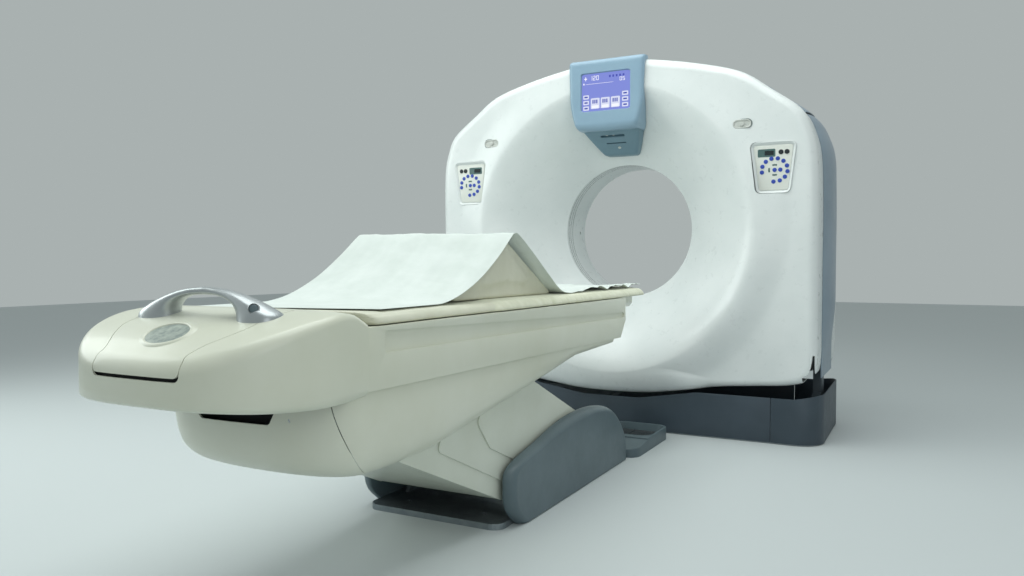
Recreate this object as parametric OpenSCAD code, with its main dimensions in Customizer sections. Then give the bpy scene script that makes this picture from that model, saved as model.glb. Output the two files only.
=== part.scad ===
// Computed tomography scanner: a tilting gantry on a floor base, and a patient table beside it.
// The table lies along Y, the bore axis is Y, and the origin is on the floor under the isocentre.

/* [Gantry covers] */
// Height of the isocentre over the floor
iso_z = 1015; // [985:1:1030]
// Inner radius of the patient bore
bore_r = 350; // [330:1:360]
// Front lip of the bore, in front of the isocentre
bore_lip = 125; // [115:1:135]
// Radius of the funnel's rim
rim_r = 720; // [700:1:730]
// Distance of the rim in front of the isocentre
rim_y = 435; // [415:1:445]
// Half width of the front cover
cover_hw = 992; // [985:1:1000]
// Height of the front cover's crown over the floor
cover_top = 1868; // [1850:1:1890]
// Height of the front cover's lowest edge at the middle
cover_bottom = 184; // [180:1:200]
// Lean of the front plate, back toward the floor, in degrees
plate_lean = 2.3; // [0:0.1:3]
// Radius at which the plate leaves the rim's step
step_r = 890; // [860:1:930]
// Rounding where the plate turns into the side wall
edge_r = 46; // [20:1:60]
// Depth of the rounding under the bottom of the ring
keel_roll = 112; // [90:1:120]
// Where the front and rear covers meet the middle covers
joint_y = 200; // [180:1:230]
// Wall of the moulded covers
cover_wall = 5; // [3:0.5:6]
// Step of the middle covers outside the front cover
mid_proud = 16; // [8:1:20]
// Bulge of the side covers over the front cover's half width
side_bulge = 32; // [20:1:40]
// Lower edge of the side covers
side_bottom = 300; // [290:1:340]
// Gap between two covers
cover_gap = 0.8; // [0.5:0.1:2]

/* [Display pod] */
// Half width of the pod at the top
pod_hw = 198; // [180:1:210]
// Half width of the pod's lower edge
pod_low_hw = 160; // [140:1:170]
// Half width at the chin's lower end
chin_hw = 86; // [70:1:100]
// Front face of the pod, in front of the rim
pod_proud = 27; // [15:1:35]
// Height of the pod's lower edge
pod_low_z = 1512; // [1500:1:1530]
// Height of the chin's lower end
chin_z = 1405; // [1400:1:1420]
// Width of the screen
screen_w = 254; // [200:1:280]
// Height of the screen
screen_h = 186; // [150:1:200]
// Centre of the screen over the floor
screen_z = 1696; // [1680:1:1710]
// Depth of the screen's recess
screen_recess = 9; // [5:1:14]

/* [Keypads and stops] */
// Distance of each keypad's middle inside the front cover's side
key_inset = 192; // [177:1:212]
// Height of the keypads over the floor
key_z = 1280; // [1240:1:1310]
// Width of the keypad panel at the top
key_w = 208; // [180:1:215]
// Height of the keypad panel
key_h = 236; // [200:1:250]
// Depth of the keypad recess
key_recess = 16; // [8:1:24]
// Radius of the arc of keys
key_arc_r = 62; // [50:1:70]
// Number of keys on the arc
key_count = 11; // [7:1:13]
// Diameter of one key
key_d = 18; // [12:1:22]
// Distance of each stop button inside the front cover's side
stop_inset = 330; // [302:1:352]
// Height of the stop buttons over the floor
stop_z = 1486; // [1470:1:1500]
// Length of the stop button's bezel
stop_w = 84; // [70:1:95]
// Height of the stop button's bezel
stop_h = 40; // [34:1:46]
// Travel of the stop button
stop_travel = 4; // [3:0.5:6]

/* [Pivot and frame] */
// Radius of the trunnions that the gantry tilts on
trunnion_r = 50; // [40:1:60]
// Distance of the stands' inner faces inside the front cover's side
stand_inset = 55; // [50:1:60]
// Thickness of the pivot stands
stand_t = 40; // [30:1:42]
// Half depth of the stand's neck
neck_hd = 44; // [35:1:50]
// Half depth of the stand's head
head_hd = 140; // [110:1:150]
// Outer radius of the tilt frame's ring
frame_ro = 800; // [790:1:805]
// Inner radius of the tilt frame's ring
frame_ri = 540; // [520:1:560]
// Front face of the tilt frame's ring
frame_y = 182; // [175:1:190]
// Thickness of the tilt frame's ring
frame_t = 46; // [40:1:50]
// Radial clearance of shafts in their bores
shaft_fit = 0.05; // [0.02:0.01:0.1]

/* [Rotor] */
// Outer radius of the rotating drum
rotor_ro = 780; // [760:1:785]
// Clearance of the drum and the detectors outside the bore
bore_clear = 50; // [42:1:60]
// Front face of the drum's disc
disc_y = 60; // [50:1:70]
// Thickness of the drum's disc
disc_t = 35; // [25:1:40]
// Radius of the main bearing's ball circle
bearing_r = 650; // [640:1:660]
// Distance of the X-ray focus from the rotation axis
focus_r = 600; // [580:1:610]
// Half of the fan angle in degrees
fan_half = 27; // [24:1:28]
// Depth of the detector along the bore
detector_l = 120; // [100:1:126]
// Running gap between turning and fixed parts
run_gap = 1; // [0.5:0.1:2]

/* [Gantry base] */
// Step of the base outside the front cover's side
base_step = 24; // [20:1:38]
// Front face of the base, in front of the isocentre
base_front = 371; // [360:1:380]
// Corner radius of the base
base_corner = 120; // [90:1:140]
// Height of the base's front panel at its ends
panel_z = 214; // [205:1:218]
// Height of the base's side panels
fender_z = 232; // [220:1:236]
// Sheet of the base panels
panel_t = 6; // [3:0.5:10]
// Height of the floor frame
floor_frame_z = 92; // [80:1:98]
// Seam in the front panel, from the base's side
seam_inset = 225; // [206:1:256]
// Anchor bolts of the floor frame, from the base's side
bolt_inset = 136; // [130:1:150]

/* [Table top] */
// Half width of the table top
top_hw = 305; // [300:1:315]
// Upper edge of the side panels
rail_z = 697; // [690:1:700]
// Lower edge of the side panels
seam_z = 540; // [535:1:545]
// Thickness of the side panels at the top
rail_t = 42; // [38:1:44]
// Overhang of the side panels past the lower arm's head pivot
foot_over = 13.4; // [10:0.1:20]
// End of the side panels at the head end
rail_head = 1000; // [980:1:1050]
// Depth of the long groove in the side panels
groove_depth = 7; // [4:1:10]
// Length of the foot cover
nose_l = 372; // [350:1:380]
// Lower lip of the foot cover
nose_low = 545; // [541:1:555]
// Wall of the table covers
table_wall = 5; // [3:0.5:6]
// Half width of the tongue in the foot cover
tongue_hw = 138; // [120:1:150]
// Lower front edge of the tongue
tongue_z = 612; // [605:1:620]
// Half width of the handle arch
handle_hw = 214; // [200:1:225]
// Height of the handle arch over its feet
handle_h = 92; // [80:1:100]
// Width of the handle's foot
handle_foot = 74; // [60:1:80]
// Middle of the handle past the side panels' end
handle_in = 200; // [190:1:210]
// Depth of the handle's pegs
handle_t = 44; // [36:1:50]
// Diameter of the release button
release_d = 26; // [20:1:30]
// Travel of the release button
release_travel = 3; // [2:0.5:4]

/* [Cradle and pads] */
// Half width of the cradle
cradle_hw = 238; // [230:1:242]
// Underside of the cradle
cradle_z = 640; // [638:1:644]
// Setback of the cradle's foot end from the side panels' end
cradle_back = 15; // [10:1:30]
// Head end of the cradle
cradle_tip = 592; // [590:1:640]
// Top of the mattress
pad_z = 729; // [722:1:735]
// Half width of the mattress
pad_hw = 254; // [248:1:258]
// Height of the knee wedge over the mattress
wedge_h = 208; // [160:1:215]
// Foot end of the knee wedge
wedge_foot = 2200; // [2150:1:2220]
// Head end of the knee wedge
wedge_head = 1590; // [1570:1:1610]
// Thickness of the cover sheet
sheet_t = 2; // [1.5:0.5:3]
// Half width of the cover sheet
sheet_hw = 258; // [250:1:260]

/* [Lift] */
// Length of the two lift arms between pivots
arm_l = 1080; // [1060:1:1090]
// Angle of the arms over the floor in degrees
arm_a = 24; // [23:0.5:25]
// Upper arm's floor pivot, distance from the isocentre
pivot_u_y = 1230; // [1220:1:1240]
// Upper arm's floor pivot, height
pivot_u_z = 110; // [106:1:114]
// Distance between the two floor pivots along the table
pivot_span = 520; // [510:1:530]
// Lower arm's floor pivot, height
pivot_l_z = 70; // [66:1:74]
// Radius of the pivot pins
pin_r = 15; // [12:1:18]
// Clearance of the pin at the open pivot
open_gap = 1; // [0.5:0.1:2]
// Half width of the lift arms
arm_hw = 190; // [170:1:205]
// Half width of the upper leg cover
leg_hw = 250; // [246:1:252]
// Wall of the leg covers
leg_wall = 4; // [3:0.5:5]
// Side gap between two leg covers
leg_gap = 0.8; // [0.6:0.1:1.5]

/* [Table base] */
// Outer face of the base covers
foot_hw = 300; // [296:1:306]
// Inner face of the base covers
foot_in = 258; // [256:1:262]
// Foot end of the floor plate
plate_foot = 2030; // [2020:1:2050]
// Head end of the floor plate
plate_head = 960; // [950:1:980]
// Thickness of the floor plate
plate_t = 20; // [15:1:25]
// Length of a pedal
pedal_l = 90; // [80:1:100]
// Diameter of the anchor holes
anchor_d = 18; // [14:1:22]

/* [Hidden] */

// Places that follow from the sizes above
stand_x = cover_hw - stand_inset;
base_hw = cover_hw + base_step;
key_x = cover_hw - key_inset;
stop_x = cover_hw - stop_inset;
seam_x = base_hw - seam_inset;
bolt_x = base_hw - bolt_inset;
rotor_ri = bore_r + bore_clear;
detector_d = focus_r + bore_r + bore_clear;
pivot_l_y = pivot_u_y + pivot_span;
rail_foot = round(10 * (pivot_l_y + arm_l * cos(arm_a) + foot_over)) / 10;
nose_y = rail_foot + nose_l;
handle_y = rail_foot + handle_in;
cradle_foot = rail_foot - cradle_back;

white = "#E9EDEC";
pod_blue = "#8FABBD";
chin_blue = "#6F8C99";
side_grey = "#8A9CA8";
slate = "#3B4750";
ivory = "#D9DCCB";
shoe_grey = "#5E6E73";
steel = "#9AA3A8";
satin = "#B9BEC0";
dark = "#22262A";
key_blue = "#3F57B5";

// Plain vector and curve helpers
function mix(a, b, t) = a + (b - a) * t;
function clamp(v, lo, hi) = min(max(v, lo), hi);
function ease(t) = let (c = clamp(t, 0, 1)) c * c * (3 - 2 * c);
function unit(v) = v / norm(v);
function bez(p, t) = p[0] * pow(1 - t, 3) + p[1] * 3 * pow(1 - t, 2) * t
    + p[2] * 3 * (1 - t) * t * t + p[3] * pow(t, 3);
function spline_at(p, i, t) = let (n = len(p), a = p[max(i - 1, 0)], b = p[i], c = p[i + 1],
    d = p[min(i + 2, n - 1)]) 0.5 * (2 * b + (c - a) * t + (2 * a - 5 * b + 4 * c - d) * t * t
    + (3 * b - a - 3 * c + d) * t * t * t);
function spline(p, n) = [for (i = [0:len(p) - 2], k = [0:n - 1]) spline_at(p, i, k / n), p[len(p) - 1]];

// Polygon with every corner rounded
function corner(a, b, c, r, n) = let (u = unit(a - b), v = unit(c - b), half = acos(u * v) / 2,
    o = b + unit(u + v) * r / sin(half), p = b + u * r / tan(half), q = b + v * r / tan(half),
    s = atan2(p[1] - o[1], p[0] - o[0]), e = atan2(q[1] - o[1], q[0] - o[0]),
    turn = (e - s + 540) % 360 - 180)
    [for (k = [0:n]) o + r * [cos(s + turn * k / n), sin(s + turn * k / n)]];
function rounded(p, r, n = 5) = let (m = len(p))
    [for (i = [0:m - 1]) each corner(p[(i + m - 1) % m], p[i], p[(i + 1) % m], r, n)];

// Skin of even thickness over a grid of points; ring closes the grid's first direction
function grid_normal(g, i, j, ring) = let (n = len(g), m = len(g[0]),
    a = ring ? g[(i + 1) % n][j] - g[(i + n - 1) % n][j] : g[min(i + 1, n - 1)][j] - g[max(i - 1, 0)][j],
    b = g[i][min(j + 1, m - 1)] - g[i][max(j - 1, 0)]) unit(cross(a, b));
function rim_face(a, b, c, d) = [[a, b, c], [a, c, d]];

module skin(g, wall, ring = false) {
    n = len(g);
    m = len(g[0]);
    last = ring ? n - 1 : n - 2;
    under = [for (i = [0:n - 1], j = [0:m - 1]) g[i][j] - wall * grid_normal(g, i, j, ring)];
    over = [for (i = [0:n - 1], j = [0:m - 1]) g[i][j]];
    k = n * m;
    top = [for (i = [0:last], j = [0:m - 2]) let (a = i * m + j, b = ((i + 1) % n) * m + j)
        each rim_face(a, a + 1, b + 1, b)];
    base = [for (i = [0:last], j = [0:m - 2]) let (a = k + i * m + j, b = k + ((i + 1) % n) * m + j)
        each rim_face(a, b, b + 1, a + 1)];
    near = [for (i = [0:last]) let (a = i * m, b = ((i + 1) % n) * m)
        each rim_face(a, b, b + k, a + k)];
    far = [for (i = [0:last]) let (a = i * m + m - 1, b = ((i + 1) % n) * m + m - 1)
        each rim_face(a, a + k, b + k, b)];
    open_ends = ring ? [] : [for (j = [0:m - 2]) each concat(
        rim_face(j, j + k, j + 1 + k, j + 1),
        rim_face((n - 1) * m + j, (n - 1) * m + j + 1, (n - 1) * m + j + 1 + k, (n - 1) * m + j + k))];
    polyhedron(concat(over, under), concat(top, base, near, far, open_ends), convexity = 8);
}

// Solid through a row of closed sections, each with the same number of points
module loft(s) {
    n = len(s);
    m = len(s[0]);
    sides = [for (i = [0:n - 2], j = [0:m - 1]) let (a = i * m + j, b = i * m + (j + 1) % m)
        each rim_face(a, b, b + m, a + m)];
    ends = [[for (j = [m - 1:-1:0]) j], [for (j = [0:m - 1]) (n - 1) * m + j]];
    polyhedron([for (r = s) each r], concat(sides, ends), convexity = 6);
}

// Plate with its outline in the X-Z plane, from y to y + t
module xz_plate(p, y, t) {
    translate([0, y + t, 0]) rotate([90, 0, 0]) linear_extrude(t) polygon(p);
}

// Plate with its outline in the Y-Z plane, from x to x + t
module yz_plate(p, x, t) {
    translate([x, 0, 0]) rotate([90, 0, 90]) linear_extrude(t) polygon(p);
}

// Ring about the bore axis
module bore_ring(ri, ro, y, t) {
    translate([0, y + t, iso_z]) rotate([90, 0, 0]) difference() {
        cylinder(r = ro, h = t, $fn = 96);
        translate([0, 0, -1]) cylinder(r = ri, h = t + 2, $fn = 96);
    }
}

module both_sides() {
    children();
    mirror([1, 0, 0]) children();
}

// Outline of the covers: a fraction of the half width, and the height
arch_half = [[0, cover_bottom], [0.2, cover_bottom + 7], [0.385, cover_bottom + 34],
    [0.55, cover_bottom + 61], [0.73, cover_bottom + 77], [0.875, cover_bottom + 90],
    [0.963, cover_bottom + 118], [0.996, cover_bottom + 176], [1, cover_bottom + 380],
    [1, cover_bottom + 640], [1, cover_top - 744], [0.992, cover_top - 522],
    [0.966, cover_top - 410], [0.92, cover_top - 322], [0.79, cover_top - 224],
    [0.654, cover_top - 133], [0.453, cover_top - 73], [0.215, cover_top - 27], [0, cover_top]];
arch_line = spline([for (p = arch_half) [p[0] * cover_hw, p[1] - iso_z]], 4);
arch_n = len(arch_line);

// Distance from the isocentre to the outline in the direction of angle a
function reach(p, q, c, s) = let (d = q - p, den = c * d[1] - s * d[0],
    k = den == 0 ? -1 : (p[0] * s - p[1] * c) / den)
    k >= -0.0001 && k <= 1.0001 ? (p[0] * d[1] - p[1] * d[0]) / den : -1;
function arch_r(a) = let (c = abs(cos(a)), s = sin(a))
    max([for (i = [0:arch_n - 2]) reach(arch_line[i], arch_line[i + 1], c, s)]);

// Front surface as radius and depth: funnel, rim, step, leaning plate, rounded edge and wall
function plate_y(z) = -rim_y + (cover_top - z) * tan(plate_lean);
funnel = [[bore_r, -bore_lip], [bore_r + 90, -bore_lip - 87], [rim_r - 80, -rim_y + 10],
    [rim_r, -rim_y]];
function face_y(r, a) = let (z = iso_z + r * sin(a))
    mix(-rim_y, plate_y(z), ease((r - rim_r) / (step_r - rim_r)));
function edge_point(ro, a, ra, rb, y, k) = [ro - ra + ra * sin(k), y + rb * (1 - cos(k))];
funnel_steps = [0, 0.16, 0.34, 0.52, 0.7, 0.86];
function front_profile(a) = let (ro = arch_r(a), under = ease((-sin(a) - 0.8) / 0.17),
    ra = mix(edge_r, ro - rim_r - 4, under), rb = mix(edge_r, keel_roll, under),
    y = face_y(ro - ra, a)) concat(
    [for (t = funnel_steps) bez(funnel, t)],
    [for (t = [0, 0.3, 0.65]) let (r = mix(rim_r, ro - ra, t)) [r, face_y(r, a)]],
    [for (k = [0:22.5:90]) edge_point(ro, a, ra, rb, y, k)],
    [[ro, -joint_y]]);
function place(p, a) = [p[0] * cos(a), p[1], iso_z + p[0] * sin(a)];
front_rows = 90;
front_grid = [for (i = [0:front_rows - 1]) let (a = -90 + 360 * i / front_rows)
    [for (p = front_profile(a)) place(p, a)]];

// Rear surface: the same funnel and roll without the lean
rear_rows = 72;
function rear_profile(a) = let (ro = arch_r(a), under = ease((-sin(a) - 0.8) / 0.17),
    ra = mix(edge_r, ro - rim_r - 4, under), rb = mix(edge_r, keel_roll, under)) concat(
    [for (t = [0, 0.25, 0.5, 0.75, 1]) -bez(funnel, t)[1] * [0, 1] + bez(funnel, t)[0] * [1, 0]],
    [for (k = [0:30:90]) let (e = edge_point(ro, a, ra, rb, -rim_y, k)) [e[0], -e[1]]],
    [[ro, joint_y]]);
rear_grid = [for (i = [0:rear_rows - 1]) let (a = 270 - 360 * i / rear_rows)
    [for (p = rear_profile(a)) place(p, a)]];

module keypad_outline(grow, depth, sink) {
    w = key_w / 2 + grow;
    h = key_h / 2 + grow;
    translate([0, plate_y(key_z), key_z]) rotate([90 + plate_lean, 0, 0])
        translate([0, 0, sink - depth]) linear_extrude(depth)
        polygon(rounded([[-w, h], [-w * 0.72, -h], [w * 0.72, -h], [w, h]], 26 + grow));
}

module stop_outline(grow, depth, sink) {
    r = stop_h / 2 + grow;
    translate([0, plate_y(stop_z), stop_z]) rotate([90 + plate_lean, 0, 0])
        translate([0, 0, sink - depth]) hull() for (s = [-1, 1])
        translate([s * (stop_w - stop_h) / 2, 0, 0]) cylinder(r = r, h = depth, $fn = 32);
}

// Slots at the lower corners, where the stands' necks swing past as the gantry tilts
tilt_max = 24;
corner_rise = 111;
neck_clear = 1.271;
neck_reach = ((iso_z - cover_bottom - corner_rise) * sin(tilt_max) + neck_hd) / cos(tilt_max) + neck_clear;
neck_slot_z = cover_bottom + 236;

// The bezel stands 5 mm proud of the cover, which is 7 mm in front of the leaning plane there
bezel_front = 12;
bezel_depth = 16;
stop_d = 22;
stop_hole = stop_d + 1.2;

module stop_axis(side) {
    translate([side * stop_x, plate_y(stop_z), stop_z]) rotate([90 + plate_lean, 0, 0]) children();
}

// Covers of the gantry
module front_cover() {
    color(white) difference() {
        skin(front_grid, cover_wall, true);
        for (s = [-1, 1]) {
            translate([s * key_x, 0, 0]) keypad_outline(0.3, 90, 45);
            translate([s * stop_x, 0, 0]) stop_outline(0.3, 60, 30);
        }
        both_sides() translate([stand_x - 8, -neck_reach, 0])
            cube([cover_hw - stand_x - 2, neck_reach + 60, neck_slot_z]);
    }
}

module rear_cover() {
    color(white) difference() {
        skin(rear_grid, cover_wall, true);
        both_sides() translate([stand_x - 8, 0, 0])
            cube([cover_hw - stand_x - 2, neck_reach + 25, neck_slot_z]);
    }
}

// Middle covers: a band over the crown and a bulged cover at each side
mid_hd = joint_y - cover_gap - 0.24 * cover_wall;
band_low = 0.925 * cover_hw;
function band_point(i, y) = let (p = arch_line[i], a = arch_line[max(i - 1, 0)],
    b = arch_line[min(i + 1, arch_n - 1)], t = unit(b - a), crown = mid_proud * (1 - pow(y / mid_hd, 2))
        + 2)
    [p[0] + t[1] * crown, y, iso_z + p[1] - t[0] * crown];
band_start = [for (i = [0:arch_n - 1]) if (arch_line[i][1] > 0 && arch_line[i][0] < band_low) i][0];
band_y = [for (k = [-1:0.4:1]) k * mid_hd];
module top_cover() {
    half = [for (i = [band_start:arch_n - 1]) [for (y = band_y) band_point(i, y)]];
    left = [for (i = [len(half) - 2:-1:0]) [for (p = half[i]) [-p[0], p[1], p[2]]]];
    color(side_grey) skin(concat(half, left), cover_wall);
}

side_top = iso_z + arch_line[band_start][1] - cover_gap;
function arch_x(z) = max([for (i = [0:arch_n - 2]) let (p = arch_line[i], q = arch_line[i + 1], w = z
    - iso_z)
    (p[1] - w) * (q[1] - w) <= 0 && p[1] != q[1] ? mix(p[0], q[0], (w - p[1]) / (q[1] - p[1])) : 0]);
module side_cover(s) {
    span = side_top - side_bottom;
    function bulge(t, y) = 2 + (side_bulge * ease(t * 3.2) * ease((1.12 - t) * 3)
        + mid_proud * ease(t * 4 - 3))
        * (1 - pow(abs(y) / mid_hd, 2.6));
    g = [for (t = [0, 0.06, 0.14, 0.24, 0.38, 0.55, 0.7, 0.8, 0.88, 0.94, 1]) let (z = side_bottom
        + span * t)
        [for (y = band_y) [s * (max(arch_x(z), t < 0.5 ? cover_hw : 0) + bulge(t, y)), y, z]]];
    color(side_grey) skin(s > 0 ? g : [for (k = [len(g) - 1:-1:0]) g[k]], cover_wall);
}

module side_cover_left() { side_cover(-1); }
module side_cover_right() { side_cover(1); }

// Thin ring that lines the bore, with three grooves at the scan window and a laser port
liner_t = 6;
liner_hl = bore_lip - 0.4;
groove_pitch = 26;
groove_w = 4;
port_y = 62;
module bore_liner() {
    color(white) difference() {
        bore_ring(bore_r, bore_r + liner_t, -liner_hl, 2 * liner_hl);
        for (k = [0:2])
            bore_ring(bore_r - 1, bore_r + 2, -liner_hl + 22 + k * groove_pitch, groove_w);
        for (s = [-1, 1]) translate([s * (bore_r + liner_t / 2), port_y, iso_z])
            cube([liner_t * 4, 16, 16], center = true);
    }
}

// Display pod: the housing over the rim, and the chin that follows the funnel down to the bore.
// Their backs lie a seat gap in front of the cover's outer face, point by point.
function cover_outer(a) = let (p = front_profile(a), n = len(p))
    [for (i = [0:n - 1]) let (d = unit(p[min(i + 1, n - 1)] - p[max(i - 1, 0)])) p[i]
        + cover_wall * [d[1], -d[0]]];
function cover_front(x, z) = let (p = cover_outer(atan2(z - iso_z, x)), r = norm([x, z - iso_z]),
    i = max([for (k = [0:len(p) - 4]) p[k][0] <= r ? k : 0]))
    mix(p[i][1], p[i + 1][1], (r - p[i][0]) / (p[i + 1][0] - p[i][0]));
seat_gap = 2.6;
function pod_section(z, w, y, r) = concat(
    [for (k = [1:-0.2:-1.01]) let (x = k * w) [x, cover_front(x, z) - seat_gap, z]],
    [for (k = [0:30:90]) [-w + r * (1 - cos(k)), y + r * (1 - sin(k)), z]],
    [for (k = [90:-30:0]) [w - r * (1 - cos(k)), y + r * (1 - sin(k)), z]]);
pod_face = -rim_y - pod_proud;
pod_top = cover_top - 8;
pod_shape = [[pod_low_z, pod_low_hw - 8, pod_face + 34], [pod_low_z + 8, pod_low_hw, pod_face + 14],
    [pod_low_z + 30, pod_low_hw + 6, pod_face + 4], [1600, pod_hw - 21, pod_face],
    [1700, pod_hw - 6, pod_face], [1790, pod_hw, pod_face], [pod_top - 30, pod_hw, pod_face + 5],
    [pod_top - 10, pod_hw - 3, pod_face + 13], [pod_top, pod_hw - 10, pod_face + 24]];
pod_levels = concat([pod_low_z, pod_low_z + 8], [for (z = [pod_low_z + 30:15:pod_top - 40]) z],
    [for (d = [30, 20, 10, 5, 0]) pod_top - d]);
function pod_at(z, k) = let (i = max([for (j = [0:len(pod_shape) - 2]) pod_shape[j][0] <= z ? j : 0]),
    a = pod_shape[i], b = pod_shape[i + 1]) mix(a[k], b[k], (z - a[0]) / (b[0] - a[0]));
module display_pod() {
    color(pod_blue) difference() {
        loft([for (z = pod_levels) pod_section(z, pod_at(z, 1), pod_at(z, 2), 16)]);
        translate([-screen_w / 2, pod_face - 1, screen_z - screen_h / 2])
            cube([screen_w, screen_recess + 7, screen_h]);
    }
}

chin_top = pod_low_z - 1;
chin_face = [pod_face + 76, -bore_lip - 102];
function chin_y(z) = mix(chin_face[1], chin_face[0], (z - chin_z) / (chin_top - chin_z));
module pod_chin() {
    color(chin_blue) difference() {
        loft([for (t = [0, 0.12, 0.3, 0.5, 0.75, 1]) let (z = mix(chin_z, chin_top, t))
            pod_section(z, mix(chin_hw, pod_low_hw - 12, pow(t, 0.85)), chin_y(z) + (t == 0 ? 8 : 0),
                10)]);
        for (k = [0, 1]) let (z = chin_top - 12 - 42 * k)
            translate([-62 + 22 * k, chin_y(z) - 12, z - 6]) cube([126 - 36 * k, 24, 11 - 3 * k]);
    }
}

module display_screen() {
    color("#8E9BE6") translate([-screen_w / 2, pod_face + screen_recess, screen_z - screen_h / 2])
        cube([screen_w, 6, screen_h]);
}

// Keypads: a dish in the front cover, with a display, two round keys and an arc of keys
key_sink = 12;
dish_wall = 4;
module keypad(s) {
    base = plate_y(key_z);
    module on_dish(x, z) {
        translate([s * key_x, base, key_z]) rotate([90 + plate_lean, 0, 0])
            translate([x, z, key_sink - key_recess]) children();
    }
    color(ivory) difference() {
        translate([s * key_x, 0, 0]) keypad_outline(0, key_recess + dish_wall, key_sink);
        translate([s * key_x, 0, 0]) keypad_outline(-dish_wall, key_recess, key_sink + 1);
    }
    color(dark) on_dish(-s * key_w * 0.13 - 46, key_h * 0.28) cube([92, 28, 4]);
    color(key_blue) for (k = [0:key_count - 1]) let (a = -50 + 280 * k / (key_count - 1))
        on_dish(key_arc_r * cos(a), key_arc_r * sin(a) - key_h * 0.14) cylinder(d = key_d, h = 4,
            $fn = 24);
    color(key_blue) on_dish(0, -key_h * 0.14) cylinder(d = key_d * 2, h = 4, $fn = 32);
    color(dark) for (k = [0, 1]) on_dish(s * (key_w * 0.3 + k * 2), key_h * (0.33 - 0.15 * k))
        cylinder(d = key_d, h = 5, $fn = 24);
}

module keypad_left() { keypad(-1); }
module keypad_right() { keypad(1); }

// Stop buttons, each sliding in a bezel on the front cover
module stop_bezels() {
    color(white) for (s = [-1, 1]) difference() {
        translate([s * stop_x, 0, 0]) stop_outline(0, bezel_depth, bezel_front);
        stop_axis(s) translate([0, 0, -40]) cylinder(d = stop_hole, h = 100, $fn = 32);
    }
}

module stop_button(s) {
    color("#C9CDC9") stop_axis(s) translate([0, 0, -14]) cylinder(d = stop_d, h = 14 + 24 + stop_travel,
        $fn = 32);
}

module stop_button_left() { stop_button(-1); }
module stop_button_right() { stop_button(1); }

// Tilt frame: a ring behind the drum with an arm to each trunnion
ear_t = 26;
ear_x = stand_x - 14;
ear_hz = 120;
module tilt_frame() {
    color(steel) {
        difference() {
            union() {
                bore_ring(frame_ri, frame_ro, frame_y, frame_t);
                both_sides() translate([frame_ro - 60, frame_y, iso_z - ear_hz])
                    cube([ear_x - frame_ro + 60, frame_t, 2 * ear_hz]);
                both_sides() translate([ear_x - ear_t, -70, iso_z - ear_hz])
                    cube([ear_t, frame_y + 70, 2 * ear_hz]);
                both_sides() translate([ear_x - 1, frame_y + 8, iso_z - 38])
                    cube([arch_r(0) - 0.4 - ear_x + 1, frame_t - 8, 76]);
            }
            for (a = [0:30:330]) rotate_about_bore(a) translate([(frame_ri + frame_ro) / 2, 0, 0])
                rotate([-90, 0, 0]) translate([0, 0, frame_y - 1]) cylinder(d = 90, h = frame_t + 2,
                    $fn = 32);
            translate([-cover_hw, 0, iso_z]) rotate([0, 90, 0])
                cylinder(r = trunnion_r, h = 2 * cover_hw, $fn = 64);
        }
    }
}

module rotate_about_bore(a) {
    translate([0, 0, iso_z]) rotate([0, -a, 0]) children();
}

module trunnion_pins() {
    color(satin) both_sides() translate([ear_x - ear_t - 12, 0, iso_z]) rotate([0, 90, 0]) {
        cylinder(r = trunnion_r, h = ear_t + 12 + stand_t + 16, $fn = 64);
        cylinder(r = trunnion_r + 14, h = 12, $fn = 64);
    }
}

// Main bearing, direct drive and slip ring
race_w = 38;
race_y = disc_y + disc_t;
module bearing_outer() {
    color(satin) bore_ring(bearing_r + run_gap / 2, bearing_r + race_w, frame_y - 52, 52);
}

module bearing_inner() {
    color(satin) bore_ring(bearing_r - race_w, bearing_r - run_gap / 2, race_y, 68);
}

module drive_stator() {
    color("#7A5A3A") difference() {
        bore_ring(bearing_r + race_w + 24, rotor_ro - 24 - run_gap, frame_y - 56, 56);
        for (a = [0:15:345]) rotate_about_bore(a) translate([rotor_ro - 30, frame_y - 40, 0])
            cube([24, 50, 60], center = true);
    }
}

slip_ri = 432;
slip_ro = 560;
slip_t = 30;
module slip_ring() {
    color("#A8853F") difference() {
        bore_ring(slip_ri, slip_ro, race_y, slip_t);
        for (k = [0:4]) bore_ring(slip_ri + 14 + 22 * k, slip_ri + 24 + 22 * k, race_y + slip_t - 5, 6);
    }
}

module brush_block() {
    color(dark) {
        translate([-60, race_y + slip_t + run_gap, iso_z - slip_ro - 4])
            cube([120, frame_y - race_y - slip_t - run_gap, 112]);
        translate([-60, frame_y - 14, iso_z - frame_ri - 60]) cube([120, 14, 60]);
    }
}

module rotor_disc() {
    color(steel) {
        difference() {
            bore_ring(rotor_ri, rotor_ro, disc_y, disc_t);
            for (a = [15:30:345]) rotate_about_bore(a) translate([0.5 * (rotor_ro + slip_ro) + 24, 0, 0])
                rotate([-90, 0, 0]) translate([0, 0, disc_y - 1]) cylinder(d = 70, h = disc_t + 2,
                    $fn = 32);
        }
        bore_ring(rotor_ro - 22, rotor_ro, race_y, 66);
    }
}

// Parts carried on the front of the drum
pack_y = -108;
module xray_tube() {
    color("#B6BCC0") translate([0, pack_y, iso_z + focus_r + 70]) rotate([-90, 0, 0]) {
        cylinder(r = 88, h = disc_y - pack_y, $fn = 64);
        translate([-150, -40, 30]) cube([300, 80, 80]);
    }
}

module collimator() {
    color(steel) difference() {
        translate([-95, -62, iso_z + 478]) cube([190, disc_y + 62, 98]);
        translate([-70, -12, iso_z + 470]) cube([140, 24, 120]);
    }
}

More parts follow.
